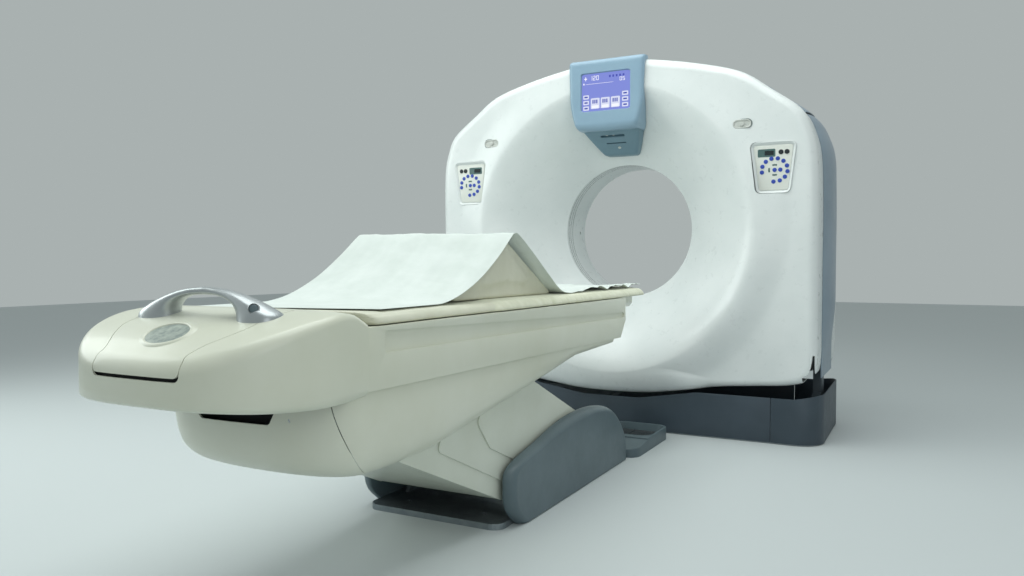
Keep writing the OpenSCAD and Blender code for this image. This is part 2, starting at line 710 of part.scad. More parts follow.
detector_t = 60;
module detector_arc() {
    far = 2 * (detector_d + detector_t);
    color("#3E5A66") translate([0, disc_y, iso_z + focus_r]) rotate([90, 0, 0]) intersection() {
        difference() {
            cylinder(r = detector_d + detector_t, h = detector_l, $fn = 192);
            translate([0, 0, -1]) cylinder(r = detector_d, h = detector_l + 2, $fn = 192);
        }
        linear_extrude(detector_l)
            polygon([[0, 0], far * [-sin(fan_half), -cos(fan_half)], far * [sin(fan_half),
                -cos(fan_half)]]);
    }
}

module pack(a, r, w, h, l) {
    rotate_about_bore(a) translate([r - h / 2, disc_y - l, -w / 2]) cube([h, l, w]);
}

module voltage_tanks() {
    color("#8E9497") {
        pack(20, 640, 210, 210, 150);
        pack(160, 640, 210, 210, 150);
    }
}

module heat_exchangers() {
    color("#6C7478") for (a = [-22, 202]) difference() {
        pack(a, 655, 200, 160, 140);
        for (k = [-4:4]) rotate_about_bore(a) translate([570, disc_y - 145, k * 20 - 4]) cube([180, 90,
            8]);
    }
}

// Gantry base: floor frame, pivot stands and panels
base_hd = base_front - panel_t;
module base_outline_solid(h) {
    linear_extrude(h) polygon(rounded([[-base_hw, -base_front], [base_hw, -base_front],
        [base_hw, base_front], [-base_hw, base_front]], base_corner, 8));
}

bolt_y = base_front - 91;
stand_foot_hd = base_front - 71;
floor_sheet = 14;
beam_w = 60;
module base_frame() {
    frame_hw = base_hw - panel_t - 0.5;
    frame_hd = base_front - panel_t - 0.5;
    color(steel) difference() {
        union() {
            linear_extrude(floor_sheet) polygon(rounded([[-frame_hw, -frame_hd], [frame_hw, -frame_hd],
                [frame_hw, frame_hd], [-frame_hw, frame_hd]], base_corner - panel_t, 8));
            for (y = [-frame_hd, frame_hd - beam_w])
                translate([-frame_hw + base_corner + 20, y, floor_sheet])
                    cube([2 * (frame_hw - base_corner - 20), beam_w, floor_frame_z - floor_sheet]);
            for (k = [-3, -1, 1, 3])
                translate([0.186 * k * frame_hw - 20, -frame_hd + beam_w, floor_sheet])
                    cube([40, 2 * (frame_hd - beam_w), floor_frame_z - floor_sheet - 20]);
            both_sides() translate([stand_x - 70, -stand_foot_hd - 12, floor_sheet])
                cube([stand_t + 76, 2 * stand_foot_hd + 24, floor_frame_z - floor_sheet]);
        }
        for (x = [-bolt_x, bolt_x], y = [-bolt_y, bolt_y]) translate([x, y, -1])
            cylinder(d = anchor_d, h = floor_frame_z + 10, $fn = 32);
    }
}

stand_foot_z = 186;
module stand(s) {
    x = s > 0 ? stand_x : -stand_x - stand_t;
    half = [[0, floor_frame_z], [stand_foot_hd, floor_frame_z], [stand_foot_hd, floor_frame_z + 30],
        [neck_hd + 60, stand_foot_z],
        [neck_hd, stand_foot_z + 24], [neck_hd, 450], [head_hd, 720], [head_hd, iso_z + 60],
        [head_hd * 0.55, iso_z + head_hd], [0, iso_z + head_hd]];
    outline = concat(half, [for (k = [len(half) - 2:-1:1]) [-half[k][0], half[k][1]]]);
    color(slate) difference() {
        yz_plate(outline, x, stand_t);
        translate([x - 1, 0, iso_z]) rotate([0, 90, 0])
            cylinder(r = trunnion_r + shaft_fit, h = stand_t + 2, $fn = 64);
        for (z = [560, 700]) translate([x - 1, 0, z]) rotate([0, 90, 0]) cylinder(d = 60, h = stand_t
            + 2, $fn = 32);
    }
}

module stand_left() { stand(-1); }
module stand_right() { stand(1); }

panel_low = 6;
panel_mid_z = cover_bottom - 18;
module base_shell() {
    difference() {
        base_outline_solid(fender_z);
        translate([0, 0, -1]) linear_extrude(fender_z + 2) polygon(rounded(
            [[-base_hw + panel_t, -base_hd], [base_hw - panel_t, -base_hd],
            [base_hw - panel_t, base_hd], [-base_hw + panel_t, base_hd]], base_corner - panel_t, 8));
        translate([-base_hw - 1, -base_front - 1, -1]) cube([2 * base_hw + 2, 2 * base_front + 2,
            panel_low + 1]);
    }
}

module panel_top_cut(s) {
    top = [[0, panel_mid_z], [150, panel_mid_z], [440, panel_z], [base_hw - base_corner, panel_z],
        [base_hw - 20, fender_z], [base_hw + 10, fender_z]];
    outline = concat([[base_hw + 10, fender_z + 20], [-base_hw - 10, fender_z + 20]],
        [for (k = [len(top) - 1:-1:1]) [-top[k][0], top[k][1]]], top);
    xz_plate(outline, s > 0 ? base_hd - 60 : -base_front - 5, 65 + panel_t);
}

module base_front_panel() {
    color(slate) difference() {
        base_shell();
        panel_top_cut(-1);
        translate([-base_hw - 1, -base_hd + 0.01, 0]) cube([2 * base_hw + 2, 2 * base_hw, fender_z + 1]);
        both_sides() translate([seam_x, -base_front - 1, 0]) cube([base_hw, 100, fender_z + 1]);
    }
}

module base_side_panels() {
    color(slate) difference() {
        base_shell();
        panel_top_cut(-1);
        panel_top_cut(1);
        translate([-seam_x - 2, -base_front - 1, 0]) cube([2 * seam_x + 4, 2 * base_front + 2, fender_z
            + 1]);
    }
}

module base_rear_panel() {
    color(slate) difference() {
        base_shell();
        panel_top_cut(1);
        translate([-base_hw - 1, -2 * base_hw + base_hd - 0.01, 0]) cube([2 * base_hw + 2, 2 * base_hw,
            fender_z + 1]);
        both_sides() translate([seam_x, base_front - 99, 0]) cube([base_hw, 100, fender_z + 1]);
    }
}

// Table: everything on the lift is drawn in the arms' own frame, turned to their angle.
// Along an arm x is the distance from its floor pivot and y the distance over its line.
module on_arm(py, pz) {
    multmatrix([[0, 0, 1, 0], [-cos(arm_a), sin(arm_a), 0, -py], [sin(arm_a), cos(arm_a), 0, pz], [0, 0,
        0, 1]])
        children();
}

module arm_plate(p, x, t) {
    translate([0, 0, x]) linear_extrude(t) polygon(p);
}

head_u = [-pivot_u_y - arm_l * cos(arm_a), pivot_u_z + arm_l * sin(arm_a)];
head_l = [-pivot_l_y - arm_l * cos(arm_a), pivot_l_z + arm_l * sin(arm_a)];

// Floor plate with the ears of both floor pivots
ear_half = arm_hw + 16;
module pivot_ear(y, z, w) {
    yz_plate([[y - w, plate_t], [y + w, plate_t], [y + w * 0.6, z + 20], [y + 14, z + 34],
        [y - 14, z + 34], [y - w * 0.6, z + 20]], ear_half, 14);
}
module floor_plate() {
    color(dark) difference() {
        union() {
            translate([0, -(plate_foot + plate_head) / 2, 0]) linear_extrude(plate_t)
                polygon(rounded([for (c = [[-1, -1], [1, -1], [1, 1], [-1, 1]])
                [c[0] * (foot_in - 0.5), c[1] * (plate_foot - plate_head) / 2]], 40));
            both_sides() {
                pivot_ear(-pivot_u_y, pivot_u_z, 110);
                pivot_ear(-pivot_l_y, pivot_l_z, 110);
            }
        }
        for (p = [[pivot_u_y, pivot_u_z], [pivot_l_y, pivot_l_z]])
            translate([-foot_in, -p[0], p[1]]) rotate([0, 90, 0]) cylinder(r = pin_r, h = 2 * foot_in,
                $fn = 48);
        for (x = [-150, 150], y = [plate_head + 90, plate_foot - 90])
            translate([x, -y, -1]) cylinder(d = anchor_d, h = plate_t + 2, $fn = 32);
    }
}

module floor_pivot_pins() {
    color(satin) for (p = [[pivot_u_y, pivot_u_z], [pivot_l_y, pivot_l_z]])
        translate([-ear_half - 14, -p[0], p[1]]) rotate([0, 90, 0])
        cylinder(r = pin_r, h = 2 * (ear_half + 14), $fn = 48);
}

// Base covers: moulded shoes beside the legs, lofted from the inner face to the rounded outer one
shoe_line = [[-1934, 0], [-2000, 60], [-2016, 130], [-1990, 196], [-1796, 240], [-1611, 276], [-1440, 288],
    [-1273, 280], [-1135, 250], [-1030, 186], [-958, 96], [-946, 0]];
shoe_steps = [for (p = spline(shoe_line, 3)) p];
shoe_mid = [(plate_foot + plate_head) / -2, 60];
shoe_round = 30;
function shoe_section(x, inset) = [for (p = shoe_steps) let (d = unit(p - shoe_mid),
    q = p - inset * d) [x, q[0], max(q[1], 0)]];
module shoe(s) {
    rows = concat([[foot_in, shoe_round * 0.2], [foot_hw - shoe_round, 0]],
        [for (k = [30:30:90]) [foot_hw - shoe_round * (1 - sin(k)), shoe_round * (1 - cos(k))]]);
    sections = [for (r = rows) shoe_section(s * r[0], r[1])];
    color(shoe_grey) loft(s > 0 ? sections : [for (k = [len(sections) - 1:-1:0]) sections[k]]);
}
module foot_shoe_left() { shoe(-1); }
module foot_shoe_right() { shoe(1); }

// Pedal tray on the floor, with two pedals on one axle
tray_x = [62, 334];
tray_y = [-938, -452];
tray_h = 58;
pedal_gap = 4;
axle_y = -560;
axle_z = 34;
pedal_w = 96;
module pedal_tray() {
    color(shoe_grey) difference() {
        linear_extrude(tray_h) polygon(rounded([[tray_x[0], tray_y[0]], [tray_x[1], tray_y[0]],
            [tray_x[1], tray_y[1]], [tray_x[0], tray_y[1]]], 60, 6));
        translate([0, 0, 8]) linear_extrude(tray_h) polygon(rounded([[tray_x[0] + 12, tray_y[0] + 210],
            [tray_x[1] - 12, tray_y[0] + 210], [tray_x[1] - 12, tray_y[1] - 12],
            [tray_x[0] + 12, tray_y[1] - 12]], 50, 6));
        translate([tray_x[0] - 1, tray_y[0] - 1, 36]) rotate([6, 0, 0]) cube([400, 160, 60]);
    }
    color(shoe_grey) translate([tray_x[0] + 20, -plate_head + 0.5, 0])
        cube([foot_in - tray_x[0] - 40, tray_y[0] + plate_head + 40, plate_t]);
    color(satin) translate([tray_x[0] + 6, axle_y, axle_z]) rotate([0, 90, 0])
        cylinder(r = 5, h = tray_x[1] - tray_x[0] - 12, $fn = 32);
}

module pedal(k) {
    x = (tray_x[0] + tray_x[1]) / 2 + (k - 0.5) * (pedal_w + pedal_gap) - pedal_w / 2;
    color(dark) difference() {
        union() {
            translate([x, axle_y - pedal_l, axle_z - 2]) cube([pedal_w, pedal_l, 9]);
            translate([x, axle_y, axle_z]) rotate([0, 90, 0]) cylinder(r = 11, h = pedal_w, $fn = 32);
        }
        translate([x - 1, axle_y, axle_z]) rotate([0, 90, 0]) cylinder(r = 5 + shaft_fit, h = pedal_w
            + 2, $fn = 32);
        for (j = [1:5]) translate([x + 8, axle_y - 12 - 13 * j, axle_z + 5]) cube([pedal_w - 16, 4, 5]);
    }
}
module pedal_up() { pedal(0); }
module pedal_down() { pedal(1); }

// Lift arms: two side plates joined by cross tubes, with bushes at both pivots
arm_t = 16;
function arm_shape(h) = rounded([[-32, -h], [arm_l + 32, -h], [arm_l + 32, h], [-32, h]], h * 0.9, 6);
module lift_arm(py, pz, h, head_bore) {
    on_arm(py, pz) difference() {
        union() {
            for (x = [-arm_hw, arm_hw - arm_t]) arm_plate(arm_shape(h), x, arm_t);
            for (s = [170, arm_l - 170]) translate([s, 0, -arm_hw + arm_t]) cylinder(r = h * 0.6,
                h = 2 * (arm_hw - arm_t), $fn = 48);
        }
        translate([0, 0, -arm_hw - 1]) cylinder(r = pin_r + shaft_fit, h = 2 * arm_hw + 2, $fn = 48);
        translate([arm_l, 0, -arm_hw - 1]) cylinder(r = head_bore, h = 2 * arm_hw + 2, $fn = 48);
    }
}
module upper_arm() { color(steel) lift_arm(pivot_u_y, pivot_u_z, 34, pin_r + shaft_fit); }
module lower_arm() { color(steel) lift_arm(pivot_l_y, pivot_l_z, 30, pin_r + open_gap); }

// Leg covers: nested troughs that follow the arms
cover_up = 84;
cover_down = -193;
cover_end = 940;
module leg_cover_upper() {
    nose = [[150, cover_up], [cover_end, cover_up], [cover_end, -143], [836, cover_down], [368,
        cover_down],
        [150, -110], [96, 10]];
    color(ivory) on_arm(pivot_u_y, pivot_u_z) {
        for (x = [-leg_hw, leg_hw - leg_wall]) arm_plate(rounded(nose, 24), x, leg_wall);
        arm_plate([[150, cover_up - leg_wall], [cover_end, cover_up - leg_wall], [cover_end, cover_up],
            [150, cover_up]],
            -leg_hw + leg_wall, 2 * (leg_hw - leg_wall));
        for (s = [260, 620]) arm_plate([[s, 34], [s + 30, 34], [s + 30, cover_up - leg_wall], [s,
            cover_up - leg_wall]],
            -arm_hw, 2 * arm_hw);
    }
}

mid_hw = leg_hw - leg_wall - leg_gap;
module leg_cover_middle() {
    side = [[560, -113], [1070, -113], [1118, -200], [1118, -266], [640, -272], [600, -250]];
    color(ivory) on_arm(pivot_u_y, pivot_u_z) {
        for (x = [-mid_hw, mid_hw - leg_wall]) arm_plate(rounded(side, 16), x, leg_wall);
        arm_plate([[700, -124], [1000, -124], [1000, -120], [700, -120]], -mid_hw + leg_wall,
            2 * (mid_hw - leg_wall));
    }
}

low_hw = mid_hw - leg_wall - leg_gap;
low_top = 55;
low_down = -80;
module leg_cover_lower() {
    side = [[150, low_top], [900, low_top], [900, low_down], [215, low_down], [150, low_down + 50]];
    color(ivory) on_arm(pivot_l_y, pivot_l_z) {
        for (x = [-low_hw, low_hw - leg_wall]) arm_plate(rounded(side, 16), x, leg_wall);
        arm_plate([[240, low_down], [880, low_down], [880, low_down + leg_wall], [240, low_down
            + leg_wall]],
            -low_hw + leg_wall, 2 * (low_hw - leg_wall));
        for (s = [300, 760]) arm_plate([[s, low_down + leg_wall], [s + 30, low_down + leg_wall], [s + 30,
            -30], [s, -30]],
            -arm_hw, 2 * arm_hw);
    }
}

// Table frame: two rails with cross members, the hanging lugs of the arms' heads and their pins
beam_z = 600;
beam_h = 32;
beam_x = [152, 204];
lug_t = 18;
module lug(p) {
    yz_plate([[p[0] - 42, beam_z], [p[0] + 42, beam_z], [p[0] + 24, p[1] - 14], [p[0] + 10, p[1] - 26],
        [p[0] - 10, p[1] - 26], [p[0] - 24, p[1] - 14]], arm_hw + 2, lug_t);
}
rail_skin = top_hw - 10 - groove_depth;
hanger_ys = [-rail_foot + 50, -rail_head - 500];
hanger_z = 524;
cross_ys = [-rail_foot + 50, -rail_foot + 390, -rail_foot + 850, -rail_head - 500, -rail_head - 300,
    -rail_head - 80];
module table_frame() {
    color(steel) {
        difference() {
            union() {
                both_sides() translate([beam_x[0], -rail_foot + 20, beam_z])
                    cube([beam_x[1] - beam_x[0], rail_foot - rail_head - 40, beam_h]);
                for (y = cross_ys) translate([-rail_skin, y, beam_z - 14]) cube([2 * rail_skin, 44, 14]);
                both_sides() for (y = hanger_ys) translate([rail_skin - 16, y, hanger_z])
                    cube([15, 44, beam_z - hanger_z]);
                both_sides() for (p = [head_u, head_l]) lug(p);
            }
            both_sides() translate([beam_x[0] - 1, -rail_foot, beam_z + 8])
                cube([beam_x[1] - beam_x[0] - 11, rail_foot, beam_h - 14]);
        }
        for (p = [head_u, head_l]) translate([-arm_hw - 2 - lug_t, p[0], p[1]]) rotate([0, 90, 0])
            cylinder(r = pin_r, h = 2 * (arm_hw + 2 + lug_t), $fn = 48);
    }
}

// Side panels with their long groove
rail_in = top_hw - rail_t;
rail_slope = 14 / 1700;
function rail_low(y) = seam_z + 8 - (y + rail_foot) * rail_slope;
module rail_panel(s) {
    side = [[-rail_foot, rail_low(-rail_foot)], [-rail_head - 60, rail_low(-rail_head - 60)],
        [-rail_head, rail_low(-rail_head) + 70],
        [-rail_head - 4, rail_z], [-rail_foot, rail_z]];
    groove = [[-rail_foot + 70, rail_z - 64], [-rail_head - 30, rail_z - 81], [-rail_head - 8, rail_z
        - 71],
        [-rail_head - 30, rail_z - 60], [-rail_foot + 70, rail_z - 11]];
    x = s > 0 ? rail_in : -top_hw;
    inner = s > 0 ? rail_in - 1 : -rail_skin;
    color(ivory) difference() {
        yz_plate(side, x, rail_t);
        yz_plate(rounded(groove, 7), s > 0 ? top_hw - groove_depth : -top_hw - 1, groove_depth + 1);
        translate([inner, -rail_foot - 1, 0]) cube([rail_skin - rail_in + 1, rail_foot - rail_head - 7,
            rail_z - 14]);
    }
}
module rail_panel_left() { rail_panel(-1); }
module rail_panel_right() { rail_panel(1); }

seam = 0.6;
// Foot cover: rings of its rounded plan, from the flat top over the edge down to the lip
function plan_point(a, hw, back, front, n) = let (c = cos(a), s = sin(a))
    [hw * sign(c) * pow(abs(c), 2 / n), -back - (front - back) * pow(abs(s), 2 / n)];
nose_steps = 32;
nose_rings = [[0.30, rail_z + 8, 80], [0.62, rail_z + 5, 56], [0.80, rail_z - 1, 34],
    [0.90, rail_z - 13, 22], [0.965, rail_z - 35, 8], [1, nose_low + 80, 0], [1, nose_low + 55, 0],
    [0.985, nose_low + 27, 0], [0.95, nose_low + 7, 0], [0.9, nose_low, 0]];
function nose_ring(r) = [for (k = [0:nose_steps]) let (a = 180 * k / nose_steps,
    p = plan_point(a, top_hw * r[0], rail_foot + seam, mix(rail_foot + seam, nose_y, r[0]), nose_n),
    far = (-p[1] - rail_foot) / (nose_y - rail_foot)) [p[0], p[1], r[1] - r[2] * far * 0.55]];
nose_n = 2.7;
module foot_cover() {
    color(ivory) difference() {
        skin([for (k = [len(nose_rings) - 1:-1:0]) nose_ring(nose_rings[k])], table_wall);
        translate([-tongue_hw, -nose_y - 20, tongue_z])
            cube([2 * tongue_hw, nose_y + 20 - tongue_back, rail_z - tongue_z + 35]);
        both_sides() translate([handle_x - handle_foot / 2, -handle_y - handle_t / 2, handle_z - 60])
            cube([handle_foot, handle_t, 90]);
    }
}

// Tongue in the foot cover, with the oval inlay on its raised boss
boss_y = rail_foot + 282;
tongue_back = rail_foot + 172;
lip_gap = 3;
boss_half = [86, 66];
inlay_half = [62, 46];
module on_boss(y, z) {
    translate([0, -y, z]) rotate([6, 0, 0]) children();
}
function oval(h, n = 24) = [for (k = [0:n - 1]) [h[0] * cos(360 * k / n), h[1] * sin(360 * k / n)]];
module foot_tongue() {
    top = [[-tongue_back - 1, rail_z - 3], [-nose_y + 122, rail_z - 7], [-nose_y + 70, rail_z - 15],
        [-nose_y + 38, rail_z - 35], [-nose_y + 18, rail_z - 61], [-nose_y + 8, tongue_z + lip_gap]];
    line = spline(top, 3);
    under = [for (k = [len(line) - 1:-1:0])
        let (a = line[max(k - 1, 0)], b = line[min(k + 1, len(line) - 1)], t = unit(b - a))
        line[k] - table_wall * [t[1], -t[0]]];
    color(ivory) {
        yz_plate(concat(line, [for (p = under) [p[0], max(p[1], tongue_z + lip_gap)]]), -tongue_hw + seam,
            2 * (tongue_hw - seam));
        on_boss(boss_y, rail_z - 25) linear_extrude(26) polygon(oval(boss_half));
    }
    color(shoe_grey) on_boss(boss_y + 1, rail_z - 21) linear_extrude(25) polygon(oval(inlay_half));
}

// Lower housing: rings of the same kind, each lower and further in; the legs pass through its open belly
hull_rings = [for (r = [[0, 13, 262, 44], [0.2, 12, 254, 42], [0.42, 13, 226, 34], [0.62, 17, 176, 18],
    [0.78, 25, 112, -8], [0.9, 35, 34, -44], [0.97, 43, -44, -90], [1, 48, -94, -110]])
    [r[0], top_hw - r[1], rail_foot + r[2], rail_foot + r[3]]];
hull_end = rail_head + 120;
belly_line = [for (p = [[-262, 300], [190, 292], [350, 330], [717, 400], [1052, 456], [1265, 500],
    [rail_foot - hull_end, 516]]) [p[0] - rail_foot, p[1]]];
function line_at(p, y) = let (i = max([for (k = [0:len(p) - 2]) p[k][0] <= y ? k : 0]))
    mix(p[i][1], p[i + 1][1], clamp((y - p[i][0]) / (p[i + 1][0] - p[i][0]), 0, 1));
function hull_top(y) = min(rail_low(y), nose_low) - 2.4;
function hull_z(t, y) = mix(hull_top(y), line_at(belly_line, y), t);
module housing_cap() {
    g = [for (r = hull_rings) [for (k = [0:20]) let (p = plan_point(180 * k / 20, r[1], r[3], r[2], 2.5))
        [p[0], p[1], hull_z(r[0], p[1])]]];
    color(ivory) difference() {
        skin([for (k = [len(g) - 1:-1:0]) g[k]], table_wall);
        xz_plate(rounded([[-120, seam_z - 58], [150, seam_z - 64], [166, seam_z - 10], [-136, seam_z
            - 10]], 9),
            -rail_foot - 350, 170);
        translate([205, -rail_foot - 350, seam_z - 44]) rotate([-90, 0, 0]) cylinder(d = 12, h = 200,
            $fn = 24);
    }
}

module housing_sides() {
    ys = concat([for (d = [-50, 50, 190, 270, 350, 717, 1052, 1265]) d - rail_foot], [-hull_end - 60,
        -hull_end]);
    color(ivory) both_sides() {
        g = [for (r = hull_rings) [for (k = [0:len(ys) - 1]) let (y = max(ys[k], -r[3] + seam * (3
            + 9 * r[0] * r[0]) + k * 4))
            [r[1], y, hull_z(r[0], y)]]];
        skin(g, table_wall);
    }
}

// Handle arch over the foot cover, and its release button
handle_x = handle_hw - handle_foot / 2;
handle_z = rail_z + 3;
module handle_arch() {
    outer = [for (k = [0:10:180]) [handle_hw * cos(k), handle_z + handle_h * pow(sin(k), 0.8)]];
    inner = [for (k = [180:-10:0]) [(handle_hw - handle_foot) * cos(k),
        handle_z + (handle_h - 24) * pow(sin(k), 0.8)]];
    color(satin) difference() {
        union() {
            xz_plate(concat(outer, inner), -handle_y - handle_t / 2, handle_t);
            both_sides() translate([handle_x - handle_foot / 2 + seam, -handle_y - handle_t / 2 + seam,
                handle_z - 50])
                cube([handle_foot - 2 * seam, handle_t - 2 * seam, 51]);
        }
        release_axis() cylinder(d = release_d + 1, h = 60, $fn = 32);
    }
}
release_x = 176;
release_z = 708;
module release_axis() {
    translate([release_x, -handle_y, release_z]) rotate([0, 30, 0]) children();
}
module release_button() {
    color(dark) release_axis() translate([0, 0, release_travel + 1]) cylinder(d = release_d, h = 44,
        $fn = 32);
}

// Carriage between the rails, the cradle over it, and the mattress in the cradle
carriage_z = 606;
module carriage() {
    color("#7C8488") {
        translate([-beam_x[0] + 3, -2300, carriage_z]) cube([2 * beam_x[0] - 6, 700, 22]);
        for (y = [-2260, -1960, -1660]) both_sides()
            translate([beam_x[0] - 4, y, beam_z + 17]) rotate([0, 90, 0]) cylinder(r = 8.5, h = 30,
                $fn = 32);
    }
}

tray_line = [[-cradle_hw, rail_z + 3], [-cradle_hw + 3, cradle_z + 26], [-cradle_hw + 34, cradle_z + 4],
    [-90, cradle_z],
    [90, cradle_z], [cradle_hw - 34, cradle_z + 4], [cradle_hw - 3, cradle_z + 26], [cradle_hw, rail_z
        + 3],
    [cradle_hw - 10, rail_z + 3], [cradle_hw - 40, cradle_z + 30], [0, cradle_z + 24], [-cradle_hw + 40,
        cradle_z + 30],
    [-cradle_hw + 10, rail_z + 3]];
module long_bar(line, foot, tip) {
    xz_plate(line, -foot, foot - tip);
}
module tip_plan(hw, foot, tip, r) {
    translate([0, 0, cradle_z - 30]) linear_extrude(200) polygon(concat([[-hw, -foot], [hw, -foot]],
        [for (k = [0:10:180]) [hw * cos(k), -tip - r + r * sin(k)]]));
}
tip_r = 150;
module cradle() {
    color("#C9CCBE") {
        difference() {
            intersection() {
                long_bar(tray_line, cradle_foot, cradle_tip);
                tip_plan(cradle_hw, cradle_foot, cradle_tip, tip_r);
            }
            translate([-300, -cradle_tip - 60, cradle_z - 40]) rotate([-28, 0, 0]) translate([0, 0, -60])
                cube([600, 200, 80]);
        }
        both_sides() translate([beam_x[0] + 4, -cradle_foot + 30, beam_z + beam_h + 0.5])
            cube([40, cradle_foot - rail_head - 200, cradle_z - beam_z - beam_h + 3]);
    }
}

module mattress() {
    w = pad_hw;
    line = [[-w, rail_z + 8], [-cradle_hw + 9, rail_z + 4], [-cradle_hw + 40, cradle_z + 30.5], [0,
        cradle_z + 24.5],
        [cradle_hw - 40, cradle_z + 30.5], [cradle_hw - 9, rail_z + 4], [w, rail_z + 8], [w, pad_z - 10],
            [w - 12, pad_z],
        [-w + 12, pad_z], [-w, pad_z - 10]];
    color("#D9DACB") intersection() {
        long_bar(line, cradle_foot - 15, cradle_tip + 22);
        tip_plan(pad_hw, cradle_foot - 15, cradle_tip + 22, tip_r);
    }
}

// Knee wedge, its ridge askew across the table
ridge_y = 1950;
ridge_skew = 80;
module knee_wedge() {
    w = pad_hw - 30;
    z = pad_z + 0.4;
    top = z + 0.94 * wedge_h - sheet_t - 4;
    color("#E4E4DA") polyhedron([[-w, -wedge_foot, z], [w, -wedge_foot, z], [w, -wedge_head, z], [-w,
        -wedge_head, z],
        [w, -ridge_y + ridge_skew, top], [-w, -ridge_y - ridge_skew, top]],
        [[0, 1, 2], [0, 2, 3], [1, 4, 2], [3, 5, 0], [0, 4, 1], [0, 5, 4], [2, 5, 3], [2, 4, 5]]);
}

// Cover sheet over the wedge: flat at the foot end, up the slope, over the ridge and down
sheet_foot = 2700;
sheet_head = 1470;
module cover_sheet() {
    path = [[0, 0], [0.45, 0.004], [0.72, 0.05], [0.86, 0.2], [1, 0.46], [1.18, 0.8], [1.3, 1], [1.36,
        1.01],
        [1.45, 0.93], [1.7, 0.52], [1.95, 0.16], [2.1, 0.03], [2.3, 0]];
    z = pad_z + 0.4;
    function at(u, x) = let (skew = ridge_skew * x / sheet_hw, ridge = -ridge_y + skew,
        y = u[0] < 1.3 ? mix(-sheet_foot, ridge, u[0] / 1.3) : mix(ridge, -sheet_head, u[0] - 1.3))
        [x, y, z + u[1] * wedge_h * (1 + 0.04 * x / sheet_hw)];
    color("#ECEEE9") skin([for (u = path) [for (k = [-1:0.25:1]) at(u, k * sheet_hw)]], sheet_t);
}

base_frame();
stand_left();
stand_right();
base_front_panel();
base_side_panels();
base_rear_panel();
tilt_frame();
trunnion_pins();
front_cover();
rear_cover();
top_cover();
side_cover_left();
side_cover_right();
bore_liner();
display_pod();
pod_chin();
display_screen();
keypad_left();
keypad_right();
stop_bezels();
stop_button_left();
stop_button_right();
bearing_outer();
drive_stator();
brush_block();
rotor_disc();
bearing_inner();
slip_ring();
xray_tube();
collimator();
detector_arc();
voltage_tanks();
heat_exchangers();
floor_plate();
floor_pivot_pins();
foot_shoe_left();
foot_shoe_right();
pedal_tray();
pedal_up();
pedal_down();
upper_arm();
leg_cover_upper();
leg_cover_middle();
lower_arm();
leg_cover_lower();
table_frame();
rail_panel_left();
rail_panel_right();
foot_cover();
foot_tongue();
housing_cap();
housing_sides();
handle_arch();
release_button();
carriage();
cradle();
mattress();
knee_wedge();
cover_sheet();
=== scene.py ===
# %% [markdown]
# # A CT scanner: gantry and patient table
# This lesson dresses a finished CAD assembly in its paint, plastic, metal and cloth. The solids
# arrive as a fixed frame, in metres, with the origin on the floor under the centre of the bore.
# The moulded covers are worked out again here as fine surfaces, and the hidden machinery keeps
# its solids and gets its finishes.

# %% Load the frame
import math

import bmesh
import bpy
import numpy as np
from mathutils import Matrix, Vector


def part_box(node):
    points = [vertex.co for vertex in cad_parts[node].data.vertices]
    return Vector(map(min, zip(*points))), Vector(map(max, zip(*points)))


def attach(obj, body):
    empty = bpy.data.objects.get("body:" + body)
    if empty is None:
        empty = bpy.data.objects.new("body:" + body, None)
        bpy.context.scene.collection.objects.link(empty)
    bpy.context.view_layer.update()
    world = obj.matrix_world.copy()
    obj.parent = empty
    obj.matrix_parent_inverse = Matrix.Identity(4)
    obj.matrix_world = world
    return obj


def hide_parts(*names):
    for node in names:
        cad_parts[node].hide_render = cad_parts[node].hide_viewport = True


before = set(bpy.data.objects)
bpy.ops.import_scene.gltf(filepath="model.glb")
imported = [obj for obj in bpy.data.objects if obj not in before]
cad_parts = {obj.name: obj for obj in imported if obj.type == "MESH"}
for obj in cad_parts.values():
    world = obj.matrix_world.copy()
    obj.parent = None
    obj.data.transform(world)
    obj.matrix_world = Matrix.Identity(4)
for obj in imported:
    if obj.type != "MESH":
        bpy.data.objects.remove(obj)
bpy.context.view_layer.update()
MM = 0.001

# %% [markdown]
# ## The photographer's camera
# The picture was taken standing at the foot of the table, on its right-hand side, at about
# waist height. A camera is placed by its spot on the floor plan, the way that it faces, and how
# far it is tipped. The lens follows from how much of the room fits in the picture's width.

# %% Camera
CAMERA_PLACE = (1.449, -4.213, 0.848)
CAMERA_TURN, CAMERA_TIP = 27.7, -1.861
LENS_MM, SENSOR_MM = 28.125, 36.0

camera_data = bpy.data.cameras.new("view_camera")
camera_data.lens, camera_data.sensor_width = LENS_MM, SENSOR_MM
camera = bpy.data.objects.new("view_camera", camera_data)
camera.location = CAMERA_PLACE
camera.rotation_euler = (math.radians(90 + CAMERA_TIP), 0, math.radians(CAMERA_TURN))
bpy.context.scene.collection.objects.link(camera)
bpy.context.scene.camera = camera
print("camera field of view", round(math.degrees(camera_data.angle), 1), "degrees")

# %% [markdown]
# ## Points that the frame already knows
# The solids fix every size that matters, so the surfaces below start from their boxes. The
# bore's liner gives the height of the isocentre, which is the point that the patient's body is
# brought to, and the covers give the outline.

# %% Driving sizes, from the frame
def mm(*values):
    """Array in metres of values or rows of values in millimetres."""
    return np.array(values) * MM


def node_box(name):
    """Lowest and highest corner of a CAD node, as two arrays in metres."""
    low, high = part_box(name)
    return np.array(low), np.array(high)


